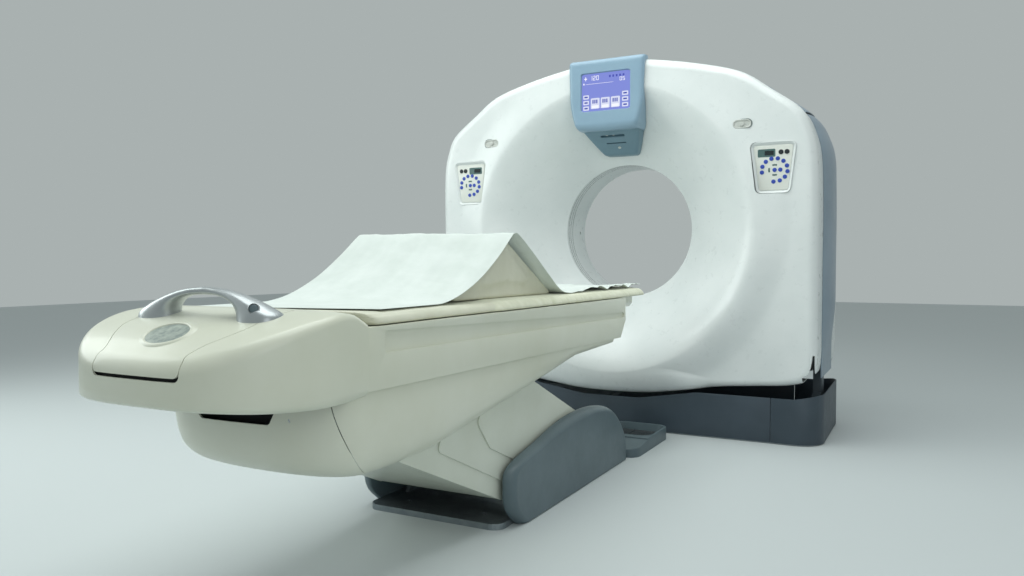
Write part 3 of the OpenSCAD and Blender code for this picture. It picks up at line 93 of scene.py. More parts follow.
liner_low, liner_high = node_box("bore_liner")
ISO_Z = float(liner_low[2] + liner_high[2]) / 2
LINER = 6 * MM
BORE_R = float(liner_high[0] - liner_low[0]) / 2 - LINER
WALL = 5 * MM
shell_high = node_box("front_cover")[1]
HALF_WIDTH = float(shell_high[0]) - WALL
CROWN_Z = float(shell_high[2]) - WALL
print(f"isocentre {ISO_Z:.3f} m, bore radius {BORE_R:.3f} m, covers {2 * HALF_WIDTH:.3f} m wide")

# %% [markdown]
# ## Meshes from arrays
# Every new piece is a grid of points worked out at once by numpy. A grid has rows and columns,
# and either direction can close on itself, as a tube's does. The helpers here turn a grid into a
# mesh, join several grids into one piece, and give a thin surface its wall.

# %% From a grid to a mesh
def grid_faces(rows, columns, ring_rows=False, ring_columns=False, start=0):
    """Corner numbers of the quads between neighbouring grid points, wrapped where a side is closed."""
    i = np.arange(rows if ring_rows else rows - 1)[:, None]
    j = np.arange(columns if ring_columns else columns - 1)[None, :]
    i2, j2 = (i + 1) % rows, (j + 1) % columns
    quads = np.stack([i * columns + j, i * columns + j2, i2 * columns + j2, i2 * columns + j], -1)
    return quads.reshape(-1, 4) + start


def mesh_object(name, points, faces):
    """Object in the scene whose mesh has these points, in metres, and these faces."""
    mesh = bpy.data.meshes.new(name)
    mesh.from_pydata(points.reshape(-1, 3).tolist(), [], [list(map(int, f)) for f in faces])
    piece = bpy.data.objects.new(name, mesh)
    bpy.context.scene.collection.objects.link(piece)
    return piece


def clean(piece, distance=2e-5, outward=True):
    """Merges doubled points, drops faces without area and, on a closed form, turns faces outwards."""
    work = bmesh.new()
    work.from_mesh(piece.data)
    bmesh.ops.remove_doubles(work, verts=work.verts, dist=distance)
    bmesh.ops.dissolve_degenerate(work, edges=work.edges, dist=distance)
    if outward:
        bmesh.ops.recalc_face_normals(work, faces=work.faces)
    work.to_mesh(piece.data)
    work.free()
    return piece


def surface(name, grid, ring_rows=False, ring_columns=False, flip=False):
    """One open or ring-shaped surface through a grid of points."""
    rows, columns = grid.shape[:2]
    faces = grid_faces(rows, columns, ring_rows, ring_columns)
    return clean(mesh_object(name, grid, faces[:, ::-1] if flip else faces), outward=False)


def closed_form(name, *grids):
    """One piece of several closed tubes: each grid's columns close, and its first and last row get a face."""
    points, faces, start = [], [], 0
    for grid in grids:
        grid = np.asarray(grid)
        rows, columns = grid.shape[:2]
        faces += grid_faces(rows, columns, ring_columns=True, start=start).tolist()
        faces += [list(range(start, start + columns)),
                  list(range(start + (rows - 1) * columns, start + rows * columns))]
        points.append(grid.reshape(-1, 3))
        start += rows * columns
    return clean(mesh_object(name, np.concatenate(points), faces))


# %% Modifiers that finish a piece, and smooth shading
def modifier(piece, kind, **settings):
    """Adds a modifier with its settings."""
    new = piece.modifiers.new(kind.title(), kind)
    for key, value in settings.items():
        setattr(new, key, value)


def settle(piece):
    """Applies all modifiers of a piece."""
    graph = bpy.context.evaluated_depsgraph_get()
    mesh = bpy.data.meshes.new_from_object(piece.evaluated_get(graph))
    piece.modifiers.clear()
    old, piece.data = piece.data, mesh
    bpy.data.meshes.remove(old)
    return piece


def smooth(piece, angle=35):
    """Smooth shading that keeps edges sharper than the angle."""
    piece.data.shade_smooth()
    piece.data.set_sharp_from_angle(angle=math.radians(angle))
    return piece


def thicken(piece, thickness, offset=1):
    """Gives a surface its wall: offset 1 on the side of its normals, -1 on the other, 0 on both."""
    modifier(piece, "SOLIDIFY", thickness=thickness, offset=offset)
    return settle(piece)


def cut(piece, *tools, operation="DIFFERENCE"):
    """Takes the tools' solids out of the piece, or does another such operation, and deletes them."""
    for tool in tools:
        modifier(piece, "BOOLEAN", operation=operation, solver="EXACT", object=tool)
    settle(piece)
    for tool in tools:
        bpy.data.objects.remove(tool)
    return piece


made = {}


def dress(piece, material):
    """Gives a piece one finish in place of what it had."""
    piece.data.materials.clear()
    piece.data.materials.append(material)


def place(piece, body, material, slot, *nodes, angle=35):
    """Shades and finishes a piece, lets it ride on a CAD body, and hides the solids that it stands for."""
    dress(smooth(piece, angle), material)
    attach(piece, body)
    if nodes:
        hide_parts(*nodes)
    made[piece.name] = len(piece.data.polygons)
    return piece


# %% [markdown]
# ## Curves that the moulder draws
# Moulded covers are drawn with a few guiding points and a smooth curve through them. A
# Catmull-Rom curve passes through its points, and a Bezier curve leaves them by its two inner
# handles. A rounded outline is spaced evenly, so that rings of different size match point by
# point.

# %% Curve helpers
def full_turn(count):
    """Angles of this many points round a circle."""
    return np.linspace(0, 2 * np.pi, count, endpoint=False)


def quarter(count):
    """Angles from 0 to a right angle."""
    return np.linspace(0, np.pi / 2, count)


def mix(a, b, t):
    """Straight mix from a to b by t."""
    return a + (b - a) * t


def ease(t):
    """Smooth step from 0 to 1: three t squared less two t cubed."""
    t = np.clip(t, 0, 1)
    return t * t * (3 - 2 * t)


def spline(points, per_span):
    """Catmull-Rom curve through the points, with per_span steps between each two."""
    p = np.asarray(points, float)
    ends = np.concatenate([p[:1], p, p[-1:]])
    a, b, c, d = ends[:-3], ends[1:-2], ends[2:-1], ends[3:]
    t = (np.arange(per_span) / per_span)[None, :, None]
    a, b, c, d = (q[:, None] for q in (a, b, c, d))
    curve = 0.5 * (2 * b + (c - a) * t + (2 * a - 5 * b + 4 * c - d) * t**2
                   + (3 * b - a - 3 * c + d) * t**3)
    return np.concatenate([curve.reshape(-1, p.shape[1]), p[-1:]])


def bezier(points, t):
    """Cubic Bezier curve of four points at the values t."""
    p, t = np.asarray(points, float), np.asarray(t, float)[:, None]
    return (p[0] * (1 - t)**3 + 3 * p[1] * (1 - t)**2 * t + 3 * p[2] * (1 - t) * t**2 + p[3] * t**3)


def even(points, count, closed=True):
    """The same line with its points spaced evenly along its length."""
    p = np.concatenate([points, points[:1]]) if closed else np.asarray(points, float)
    reach = np.concatenate([[0], np.cumsum(np.linalg.norm(np.diff(p, axis=0), axis=1))])
    at = np.linspace(0, reach[-1], count, endpoint=not closed)
    return np.stack([np.interp(at, reach, p[:, k]) for k in range(p.shape[1])], 1)


def rounded(corners, radius, count=96):
    """Closed outline with each corner turned by an arc of the radius, spaced evenly."""
    p = np.asarray(corners, float)
    before, after = np.roll(p, 1, 0), np.roll(p, -1, 0)
    u = (before - p) / np.linalg.norm(before - p, axis=1, keepdims=True)
    v = (after - p) / np.linalg.norm(after - p, axis=1, keepdims=True)
    half = np.arccos(np.clip((u * v).sum(1), -1, 1)) / 2
    middle = p + (u + v) / np.linalg.norm(u + v, axis=1, keepdims=True) * (radius / np.sin(half))[:, None]
    start = p + u * (radius / np.tan(half))[:, None] - middle
    end = p + v * (radius / np.tan(half))[:, None] - middle
    first = np.arctan2(start[:, 1], start[:, 0])
    turn = (np.arctan2(end[:, 1], end[:, 0]) - first + 3 * np.pi) % (2 * np.pi) - np.pi
    a = first[:, None] + turn[:, None] * np.linspace(0, 1, 9)
    arcs = middle[:, None] + radius * np.stack([np.cos(a), np.sin(a)], -1)
    return even(arcs.reshape(-1, 2), count)


# %% [markdown]
# ## Finishes
# Each finish is named for what the real one is and how it was made, or for the shade that it
# paints. Colours are written as they look on a screen, and one function turns them to the linear
# values that the shader works with.
# A pattern's scale is worked out from a real size, because a noise of scale s has features about
# 1/s metres across.

# %% Colours and shader nodes
def colour(code):
    """Linear red, green, blue and an alpha of 1 for an sRGB hex code."""
    srgb = np.array([int(code[i:i + 2], 16) for i in (1, 3, 5)]) / 255
    linear = np.where(srgb <= 0.04045, srgb / 12.92, ((srgb + 0.055) / 1.055)**2.4)
    return (*(float(v) for v in linear), 1.0)


def new_material(name, sockets):
    """Material whose principled shader starts with these values in its sockets."""
    material = bpy.data.materials.new(name)
    material.use_nodes = True
    for socket, value in sockets.items():
        material.node_tree.nodes["Principled BSDF"].inputs[socket].default_value = value
    return material


def add(tree, kind, sockets=()):
    """Adds a shader node; sockets gives each input, by its name, a value or another node's output."""
    node = tree.nodes.new("ShaderNode" + kind)
    for key, value in dict(sockets).items():
        if isinstance(value, bpy.types.NodeSocket):
            tree.links.new(value, node.inputs[key])
        else:
            node.inputs[key].default_value = value
    return node


def per_mm(size):
    """Noise scale whose features are this many millimetres across."""
    return 1000 / size


def two_tone(tree, factor, low, high):
    """Colour that goes from low to high as the factor does, over the middle third of its range."""
    ramp = add(tree, "ValToRGB", {"Fac": factor})
    for stop, at, code in zip(ramp.color_ramp.elements, (0.35, 0.65), (low, high)):
        stop.position, stop.color = at, colour(code)
    return ramp.outputs["Color"]


def finish(name, base, shade, roughness, grain_mm, bump_mm, patch_mm=240, wear=0.05, metallic=0.0,
           coat=0.0, stretch=(1, 1, 1), sheen=0.0, specular=0.5):
    """One opaque finish of two close colours in slow patches.

    A fine grain bumps the surface, and finer patches let the roughness wander by wear.
    """
    material = new_material(name, {
        "Metallic": metallic, "IOR": 1.46 if metallic < 0.5 else 1.5, "Coat Weight": coat,
        "Coat Roughness": 0.08, "Sheen Weight": sheen, "Sheen Roughness": 0.5,
        "Specular IOR Level": specular})
    tree = material.node_tree
    shader = tree.nodes["Principled BSDF"]
    spot = add(tree, "TexCoord").outputs["Object"]
    along = add(tree, "Mapping", {"Vector": spot, "Scale": stretch}).outputs["Vector"]

    def noise(vector, size, detail, rough):
        """Noise with features of a size in millimetres."""
        sockets = {"Vector": vector, "Scale": per_mm(size), "Detail": detail, "Roughness": rough}
        return add(tree, "TexNoise", sockets).outputs["Fac"]

    tone = two_tone(tree, noise(along, patch_mm, 5.0, 0.6), shade, base)
    smudge, grain = noise(spot, patch_mm / 6, 8.0, 0.7), noise(along, grain_mm, 3.0, 0.5)
    dull = add(tree, "MapRange", {"Value": smudge, "From Min": 0.3, "From Max": 0.7,
                                  "To Min": max(roughness - wear, 0.02), "To Max": roughness + wear})
    bump = add(tree, "Bump", {"Height": grain, "Distance": bump_mm * MM, "Strength": 0.6})
    tree.links.new(tone, shader.inputs["Base Color"])
    tree.links.new(dull.outputs["Result"], shader.inputs["Roughness"])
    tree.links.new(bump.outputs["Normal"], shader.inputs["Normal"])
    return material


# %% [markdown]
# The gantry's covers are glass-fibre mouldings with a white polyurethane paint: a clear gloss,
# and a very fine orange peel about 4 mm across. The table's covers are moulded ABS of a warmer
# white that has yellowed a little.

# %% Painted and moulded finishes
shell_paint = finish("white polyurethane paint on glass fibre", "#E8ECEB", "#E1E6E5", 0.30, 4, 0.010,
                     coat=0.25)
band_paint = finish("blue-grey satin paint on glass fibre", "#8C9CA9", "#82929F", 0.38, 4, 0.015, coat=0.1)
pod_paint = finish("pale blue satin paint on ABS", "#8FABBE", "#88A4B8", 0.34, 1.6, 0.02, coat=0.15)
# The chin's paint is the pod's pale blue darkened: painted shade of its downward-facing slope.
chin_shaded_paint = finish("grey-blue satin paint on ABS, darkened as painted shade", "#708D9B", "#698694", 0.36, 1.6, 0.02, coat=0.1)
base_plastic = finish("slate moulded ABS with a fine spark grain", "#3E4A54", "#36414A", 0.46, 1.2, 0.08)
table_abs = finish("ivory moulded ABS, slightly yellowed", "#DADCCD", "#D3D5C3", 0.33, 2.2, 0.012,
                   patch_mm=420, coat=0.12)
leg_abs = finish("ivory moulded ABS of the leg covers", "#D3D7CB", "#CCD0C2", 0.36, 2.2, 0.015,
                 patch_mm=300)
shoe_foam = finish("grey skinned polyurethane of the base shoes", "#5F6E74", "#56656B", 0.42, 1.4, 0.05)
key_plate = finish("cream membrane over a moulded dish", "#E6E8E1", "#DFE2DA", 0.35, 1.5, 0.01)
dark_abs = finish("dark grey moulded ABS", "#2B3236", "#22282C", 0.4, 1.0, 0.03)
blue_key = finish("blue printed membrane key", "#3D57B8", "#344CA8", 0.32, 2.0, 0.01, patch_mm=40)
pale_key = finish("pale grey moulded button", "#CDCFCA", "#C4C7C1", 0.34, 1.5, 0.01, patch_mm=60)
# Painted shade: a near-black finish for sheets put inside gaps and slots, where only shade falls.
gap_shade = finish("painted shade inside a gap", "#121517", "#0E1012", 0.7, 2.0, 0.02)

# %% [markdown]
# Metals show their making: turned rings carry fine lines, castings a coarse skin, and the
# painted handle is a metallic silver lacquer with flakes too small to see one by one.

# %% Metal finishes
silver_lacquer = finish("satin silver lacquer on cast aluminium", "#B4B9BB", "#A9AFB2", 0.34, 0.8, 0.01,
                        metallic=0.75, coat=0.2)
mill_steel = finish("zinc-plated steel plate", "#9AA2A6", "#868F94", 0.42, 1.2, 0.02, metallic=0.9,
                    patch_mm=60, wear=0.12)
turned_steel = finish("turned and ground bearing steel", "#B4B8BA", "#A3A8AB", 0.24, 0.7, 0.015,
                      metallic=1.0,
                      stretch=(1, 14, 1), wear=0.06)
cast_grey = finish("grey primer on cast iron", "#59636A", "#4E585F", 0.55, 2.4, 0.12)
copper_coil = finish("varnished copper winding", "#8A5A34", "#6E4526", 0.35, 1.5, 0.2, metallic=0.7,
                     stretch=(1, 6, 1), patch_mm=30)
gold_ring = finish("gold-plated brass contact tracks", "#C09A4A", "#A98438", 0.25, 0.6, 0.01, metallic=1.0)
sensor_board = finish("blue-green lacquered detector housing", "#3E5A66", "#354E59", 0.45, 1.5, 0.03)
worn_aluminium = finish("milled aluminium", "#A7ADB0", "#989FA3", 0.36, 0.9, 0.02, metallic=0.95,
                        stretch=(8, 1, 1))

# %% [markdown]
# The pad is a vinyl-coated fabric with a leather grain of about 1.5 mm, the wedge the same in
# cream, and the sheet is a non-woven paper cloth, whose fibres show as a soft mottle.

# %% Soft finishes
pad_vinyl = finish("ivory vinyl-coated fabric", "#D8D8C6", "#CDCDB8", 0.5, 1.5, 0.12, patch_mm=180,
                   sheen=0.1)
wedge_vinyl = finish("cream vinyl over foam", "#E0DFCE", "#D5D4C0", 0.52, 1.6, 0.12, patch_mm=160)
paper_cloth = finish("white non-woven paper cloth", "#D9E0DC", "#D0D8D3", 0.85, 2.2, 0.18, patch_mm=90,
                     sheen=0.25, specular=0.2)
screen_glass = finish("dark glass of a small display", "#1C2A2C", "#182426", 0.12, 3, 0.0, coat=0.5)
lcd_frame = finish("grey-green printed display frame", "#56716F", "#4E6967", 0.3, 2, 0.005)


def lit_panel(name, code, strength=0.9):
    """Display glass that gives its own light in one colour; its body is near black under a smooth front."""
    return new_material(name, {
        "Base Color": colour("#101018"), "Roughness": 0.2, "Emission Color": colour(code),
        "Emission Strength": strength, "Coat Weight": 0.3})


lit_back = lit_panel("periwinkle display background", "#8490E2")
lit_tile = lit_panel("pale display tiles", "#DDE2F8", 0.95)
lit_line = lit_panel("white display strips", "#F4F6FF", 1.0)
lit_dark = lit_panel("deep blue display marks", "#4450B8")
print(len(bpy.data.materials), "materials")

# %% [markdown]
# ## The stage
# A plain pale floor and a plain backdrop, with soft light from a large lamp overhead and two at the
# sides. The lamps are weak and large, so white paint keeps its tone.

# %% Floor, backdrop and lamps
FLOOR_REACH = 14
across = np.array([-FLOOR_REACH, FLOOR_REACH])
floor_grid = np.stack([*np.meshgrid(across, across, indexing="ij"), np.zeros((2, 2))], -1)
floor = surface("studio_floor", floor_grid)
floor.data.materials.append(new_material("pale studio floor", {
    "Base Color": colour("#C9CFD0"), "Roughness": 0.75, "Specular IOR Level": 0.25}))

world = bpy.data.worlds.new("studio")
world.use_nodes = True
backdrop = world.node_tree.nodes["Background"].inputs
backdrop["Color"].default_value, backdrop["Strength"].default_value = colour("#DDE7E6"), 0.55
bpy.context.scene.world = world
bpy.context.scene.view_settings.view_transform = "Standard"


def lamp(name, spot, aim, size, watts, code):
    """Square soft lamp at a spot, facing the point aim."""
    data = bpy.data.lights.new(name, "AREA")
    data.shape, data.size, data.energy, data.color = "SQUARE", size, watts, colour(code)[:3]
    light = bpy.data.objects.new(name, data)
    light.location = spot
    from_z = np.array(spot) - np.array(aim)
    flat = math.hypot(from_z[0], from_z[1])
    light.rotation_euler = (math.atan2(flat, from_z[2]), 0, math.atan2(from_z[0], -from_z[1]))
    bpy.context.scene.collection.objects.link(light)
    return light


lamp("overhead_lamp", (0, -1.6, 3.6), (0, -1.2, 0), 3.4, 95, "#F4FAF8")
lamp("window_lamp", (-3.6, -3.0, 2.4), (0, -1, 0.9), 2.4, 60, "#F2FAF6")
lamp("fill_lamp", (3.4, -4.6, 2.0), (0, -1, 0.9), 2.6, 26, "#F6F8FA")

# %% [markdown]
# ## The gantry's front cover
# The cover is one big moulding. From the bore a cone opens towards the room, rolls over a rounded
# rim, and steps back to a plate that leans a little. It ends in a rounded edge that follows the
# outline of the machine. All of this is one surface of two parameters: the angle about the bore,
# and the way from the bore outwards. For each angle the outline gives the outer radius.

# %% Outline of the covers, as a radius for each angle
COVER_FOOT_Z = 184 * MM
outline_low = np.array([[0, 0], [0.2, 7], [0.385, 34], [0.55, 61], [0.73, 77], [0.875, 90], [0.963, 118],
                        [0.996, 176], [1, 380], [1, 640]]) * [HALF_WIDTH, MM] + [0, COVER_FOOT_Z]
outline_high = np.array([[1, -744], [0.992, -522], [0.966, -410], [0.92, -322], [0.79, -224], [0.654, -133],
                         [0.453, -73], [0.215, -27], [0, 0]]) * [HALF_WIDTH, MM] + [0, CROWN_Z]
arch = spline(np.concatenate([outline_low, outline_high]) - [0, ISO_Z], 12)
arch_angle, arch_reach = np.arctan2(arch[:, 1], arch[:, 0]), np.hypot(arch[:, 0], arch[:, 1])


def reach(a):
    """Outer radius at angle a, the same on both sides: the outline's distance from the isocentre."""
    right = np.arctan2(np.sin(a), np.abs(np.cos(a)))
    return np.interp(right, arch_angle, arch_reach)


# %% Front surface
RIM_R, RIM_Y, LIP_Y, STEP_R = mm(720, 435, 125, 890)
EDGE_R, KEEL_ROLL, JOINT_Y = mm(46, 112, 200)
LEAN = math.tan(math.radians(2.3))
FUNNEL = np.array([[BORE_R, -LIP_Y], [BORE_R + 90 * MM, -LIP_Y - 87 * MM],
                   [RIM_R - 80 * MM, -RIM_Y + 10 * MM], [RIM_R, -RIM_Y]])


def plate_y(z):
    """Depth of the leaning plate at height z: it goes back by the lean below the crown."""
    return -RIM_Y + (CROWN_Z - z) * LEAN


def face_y(r, a):
    """Depth in front of the plate: the rim's own depth, easing back to the plate over the step."""
    return mix(-RIM_Y, plate_y(ISO_Z + r * np.sin(a)), ease((r - RIM_R) / (STEP_R - RIM_R)))


def cover_profile(a, face, stations=(26, 26, 12)):
    """Radius and depth from the bore to the joint for all angles a: cone, plate, rounded edge, wall."""
    a = a[:, None]
    ro = reach(a)
    under = ease((-np.sin(a) - 0.8) / 0.17)
    ra, rb = mix(EDGE_R, ro - RIM_R - 4 * MM, under), mix(EDGE_R, KEEL_ROLL, under)
    cone = bezier(FUNNEL, np.linspace(0, 1, stations[0], endpoint=False))
    t = np.linspace(0, 1, stations[1], endpoint=False)[None]
    plate_r = mix(RIM_R, ro - ra, t)
    k = np.linspace(0, np.pi / 2, stations[2])[None]
    edge_r = ro - ra + ra * np.sin(k)
    edge_y = face(ro - ra, a) + rb * (1 - np.cos(k))
    end = np.ones_like(a)
    r = np.concatenate([cone[:, 0] * end, plate_r, edge_r, ro * end], 1)
    y = np.concatenate([cone[:, 1] * end, face(plate_r, a), edge_y, -JOINT_Y * end], 1)
    return r, y


def round_the_bore(a, r, y):
    """Points at angle a, radius r and depth y."""
    a = a[:, None]
    return np.stack([r * np.cos(a), y + 0 * a, ISO_Z + r * np.sin(a)], -1)


angles = full_turn(264) - np.pi / 2
front_grid = round_the_bore(angles, *cover_profile(angles, face_y))
front_shell = surface("front_shell", front_grid, ring_rows=True, flip=True)
thicken(front_shell, WALL)
print("front shell", len(front_shell.data.polygons), "faces")

# %% [markdown]
# ## Openings in the front cover
# The keypads sit in dishes, and the stop buttons in capsule-shaped bezels. Their outlines
# are cut right through the moulding with straight tools, leaned as the plate is.

# %% Outlines on the leaning plate
KEY_X, KEY_Z, KEY_W, KEY_H = mm(800, 1280, 208, 236)
STOP_X, STOP_Z, STOP_W, STOP_H = mm(662, 1486, 84, 40)
TURN = math.atan(LEAN)


def on_plate(flat, centre_x, centre_z, proud):
    """Points of the plate's own plane (across, up) put on the gantry, standing proud of the plate."""
    up = flat[..., 1]
    return np.stack([centre_x + flat[..., 0],
                     plate_y(centre_z) - up * math.sin(TURN) - proud * math.cos(TURN),
                     centre_z + up * math.cos(TURN) - proud * math.sin(TURN)], -1)


def key_outline(grow):
    """Rounded outline of a keypad, wider at the top, grown all round."""
    w, h = KEY_W / 2 + grow, KEY_H / 2 + grow
    return rounded([[-w, h], [-0.72 * w, -h], [0.72 * w, -h], [w, h]], 26 * MM + grow)


def stop_outline(grow):
    """Outline of a stop button's bezel, grown all round: two half circles joined by straight lines."""
    r = STOP_H / 2 + grow
    a = np.linspace(-np.pi / 2, np.pi / 2, 24)
    half = np.stack([(STOP_W - STOP_H) / 2 + r * np.cos(a), r * np.sin(a)], 1)
    return even(np.concatenate([half, -half]), 72)


def prism(name, ring, centre, far):
    """Straight solid with a ring as its outline, that far to both sides of the plate."""
    return closed_form(name, [on_plate(ring, *centre, proud) for proud in (far, -far)])


SLOT_X, SLOT_TOP = mm(929, 982), 420 * MM


def stand_slot(side, front, back):
    """Cutting box for the slot that a pivot stand passes through, between two depths."""
    a, b = sorted(side * x for x in SLOT_X)
    ring = np.array([[a, front], [b, front], [b, back], [a, back]])
    return closed_form("slot_tool", [np.c_[ring, np.full(4, z)] for z in (0, SLOT_TOP)])


CUT_GAP = 0.5 * MM
tools = []
for side in (-1, 1):
    tools.append(prism("key_tool", key_outline(CUT_GAP), (side * KEY_X, KEY_Z), 60 * MM))
    tools.append(prism("stop_tool", stop_outline(CUT_GAP), (side * STOP_X, STOP_Z), 40 * MM))
    tools.append(stand_slot(side, -JOINT_Y - 170 * MM, 60 * MM))
cut(front_shell, *tools)
place(front_shell, "gantry", shell_paint, "white_cover", "front_cover", angle=40)
print("front shell with its openings:", made["front_shell"], "faces")

# %% [markdown]
# ## The rear cover and the middle band
# The rear cover repeats the cone and the rounded edge without the lean. Between the two shells
# lies a blue-grey band: a strip that bulges a little over the crown, and a fuller cover at each
# side that stops above the floor frame.

# %% Rear cover
rear_r, rear_y = cover_profile(angles, lambda r, a: -RIM_Y + 0 * r * a, (20, 10, 10))
rear_shell = surface("rear_shell", round_the_bore(angles, rear_r, -rear_y), ring_rows=True)
thicken(rear_shell, WALL)
cut(rear_shell, *(stand_slot(side, -60 * MM, RIM_Y - 40 * MM) for side in (-1, 1)))
place(rear_shell, "gantry", shell_paint, "white_cover", "rear_cover", angle=40)

# %% Middle band: crown strip and side covers
SEAM, PROUD, BULGE, SIDE_FOOT_Z = mm(0.8, 16, 32, 300)
MID_Y = JOINT_Y - SEAM
BAND_REACH = 0.925
band_foot = node_box("top_cover")[0][2] + WALL - ISO_Z
crown_line = arch[(arch[:, 1] > 0) & (arch[:, 0] < BAND_REACH * HALF_WIDTH) & (arch[:, 1] > band_foot)]
crown_line = np.concatenate([crown_line, crown_line[-2::-1] * [-1, 1]])
along = np.gradient(crown_line, axis=0)
outward = np.stack([along[:, 1], -along[:, 0]], 1) / np.linalg.norm(along, axis=1)[:, None]
depth = np.linspace(-MID_Y, MID_Y, 23)
crown = PROUD * (1 - (depth / MID_Y)**2) + 2 * MM
strip = crown_line[:, None] + outward[:, None] * crown[None, :, None]
strip_grid = np.stack([strip[..., 0], depth[None] + 0 * strip[..., 0], ISO_Z + strip[..., 1]], -1)
crown_band = surface("crown_band", strip_grid)
thicken(crown_band, WALL)
place(crown_band, "gantry", band_paint, "side_grey", "top_cover", angle=40)

side_top_z = float(node_box("side_cover_right")[1][2])
heights = np.linspace(0, 1, 60)[:, None]
level = mix(SIDE_FOOT_Z, side_top_z, heights)
edge_x = np.interp(level - ISO_Z, arch[:, 1], arch[:, 0])
edge_x = np.where(heights < 0.5, np.maximum(edge_x, HALF_WIDTH), edge_x)
belly = BULGE * ease(heights * 3.2) * ease((1.12 - heights) * 3) + PROUD * ease(heights * 4 - 3)
side_x = edge_x + 2 * MM + belly * (1 - np.abs(depth[None] / MID_Y)**2.6)
for side, word in ((-1, "left"), (1, "right")):
    grid = np.stack([side * side_x, depth[None] + 0 * side_x, level + 0 * side_x], -1)
    cover = surface(f"side_shell_{word}", grid, flip=side > 0)
    thicken(cover, WALL)
    place(cover, "gantry", band_paint, "side_grey", f"side_cover_{word}", angle=40)

# %% [markdown]
# ## The display pod and its chin
# The pod sits over the rim like a saddle. It is drawn as level slices: each slice starts on the
# cover behind, turns two rounded corners and is crowned a little in front. Its lower edge rolls
# under and hangs a few millimetres lower in the middle. The chin below follows the cone down.

# %% The covers' outer face behind a point
cone_line = bezier(FUNNEL, np.linspace(0, 1, 200))
cone_tilt = np.gradient(cone_line[:, 1], cone_line[:, 0])
cone_front = cone_line[:, 1] - WALL * np.sqrt(1 + cone_tilt**2)


def cover_front(x, z):
    """Depth of the front cover's outer face: the cone's curve inside the rim, the plate beyond it."""
    r, a = np.hypot(x, z - ISO_Z), np.arctan2(z - ISO_Z, x)
    plate = face_y(r, a) - WALL
    edge = reach(a) - EDGE_R
    over = np.clip((r - edge) / EDGE_R, 0, 1)
    rolled = plate + EDGE_R * (1 - np.sqrt(1 - over**2))
    return np.where(r < RIM_R, np.interp(r, cone_line[:, 0], cone_front), rolled)


def slices(levels, widths, faces, radius, crown, hang=0.0):
    """Level slices of a form that sits on the cover: back, side, corner, crowned face, corner, side."""
    s = np.linspace(-1, 1, 25)[None]
    k = quarter(9)[None]
    z, w, face = (np.asarray(v, float)[:, None] for v in (levels, widths, faces))
    back_x = -s * w
    back_y = cover_front(back_x, z + 0 * back_x) - 1.5 * MM
    left_x, turn_y = -w + radius * (1 - np.cos(k)), face + radius * (1 - np.sin(k))
    front_x = np.linspace(-1, 1, 21)[None, 1:-1] * (w - radius)
    front_y = face - crown * (1 - (front_x / w)**2)
    turn_y = turn_y - crown * (1 - (left_x / w)**2)
    x = np.concatenate([back_x, left_x, front_x, -left_x[:, ::-1]], 1)
    y = np.concatenate([back_y, turn_y, front_y, turn_y[:, ::-1]], 1)
    low = 1 - ease((z - z.min()) / (55 * MM))
    down = hang * low * (1 - (x / w)**2) * (y < cover_front(x, z + 0 * x) - 20 * MM)
    return np.stack([x, y, z - down], -1)


# %% Pod and chin
def still_to_turn(share):
    """What a rounded corner still has to go at a share of its turn: 1 at the start, 0 from share 1 on."""
    return 1 - np.sin(np.clip(share, 0, 1) * np.pi / 2)


pod_low, pod_high = node_box("display_pod")
POD_W, POD_FACE, POD_FOOT_W = float(pod_high[0]), float(pod_low[1]), 160 * MM
ROLL, TOP_ROLL = mm(32, 26)
roll = quarter(10)
foot_z, top_z = float(pod_low[2]), float(pod_high[2])
body_z = np.linspace(foot_z + ROLL, top_z - TOP_ROLL, 34)[1:-1]
levels = np.concatenate([foot_z + ROLL * (1 - np.cos(roll)), body_z, top_z - TOP_ROLL * (1 - np.sin(roll))])
faces = POD_FACE + np.concatenate([ROLL * (1 - np.sin(roll)), 0 * body_z, TOP_ROLL * (1 - np.cos(roll))])
taper = np.clip((levels - foot_z) / (0.5 * (top_z - foot_z)), 0, 1)
widths = mix(POD_FOOT_W, POD_W - 4 * MM, np.sin(taper * np.pi / 2))
WIDER_FROM, WIDER_OVER = mm(1700, 100)
widths += 4 * MM * np.clip((levels - WIDER_FROM) / WIDER_OVER, 0, 1)
widths -= 8 * MM * still_to_turn((levels - foot_z) / ROLL)
pod = closed_form("display_housing", slices(levels, widths, faces, 20 * MM, 0.0, 7 * MM))

screen_low, screen_high = node_box("display_screen")
SCREEN_W, _, SCREEN_H = map(float, screen_high - screen_low)
SCREEN_Z, GLASS_Y = float(screen_low[2] + screen_high[2]) / 2, float(screen_low[1])


def upright(flat, depth_y, centre=(0, 0)):
    """Points of an outline (across, up) at the depth y."""
    flat = np.asarray(flat, float)
    return np.stack([flat[:, 0] + centre[0], np.full(len(flat), depth_y), flat[:, 1] + centre[1]], 1)


def bar_ring(width, height, radius, count=64):
    """Outline of a rounded bar or panel about its middle."""
    w, h = width / 2, height / 2
    return rounded([[-w, -h], [w, -h], [w, h], [-w, h]], radius, count)


funnel = ((POD_FACE - 20 * MM, 14 * MM), (POD_FACE - 1 * MM, 9 * MM), (GLASS_Y, 0), (GLASS_Y + 7 * MM, 0))
cut(pod, closed_form("screen_tool", [
    upright(bar_ring(SCREEN_W + grow, SCREEN_H + grow, 5 * MM + grow / 2), y, (0, SCREEN_Z))
    for y, grow in funnel]))
place(pod, "gantry", pod_paint, "pod_blue", "display_pod", angle=42)

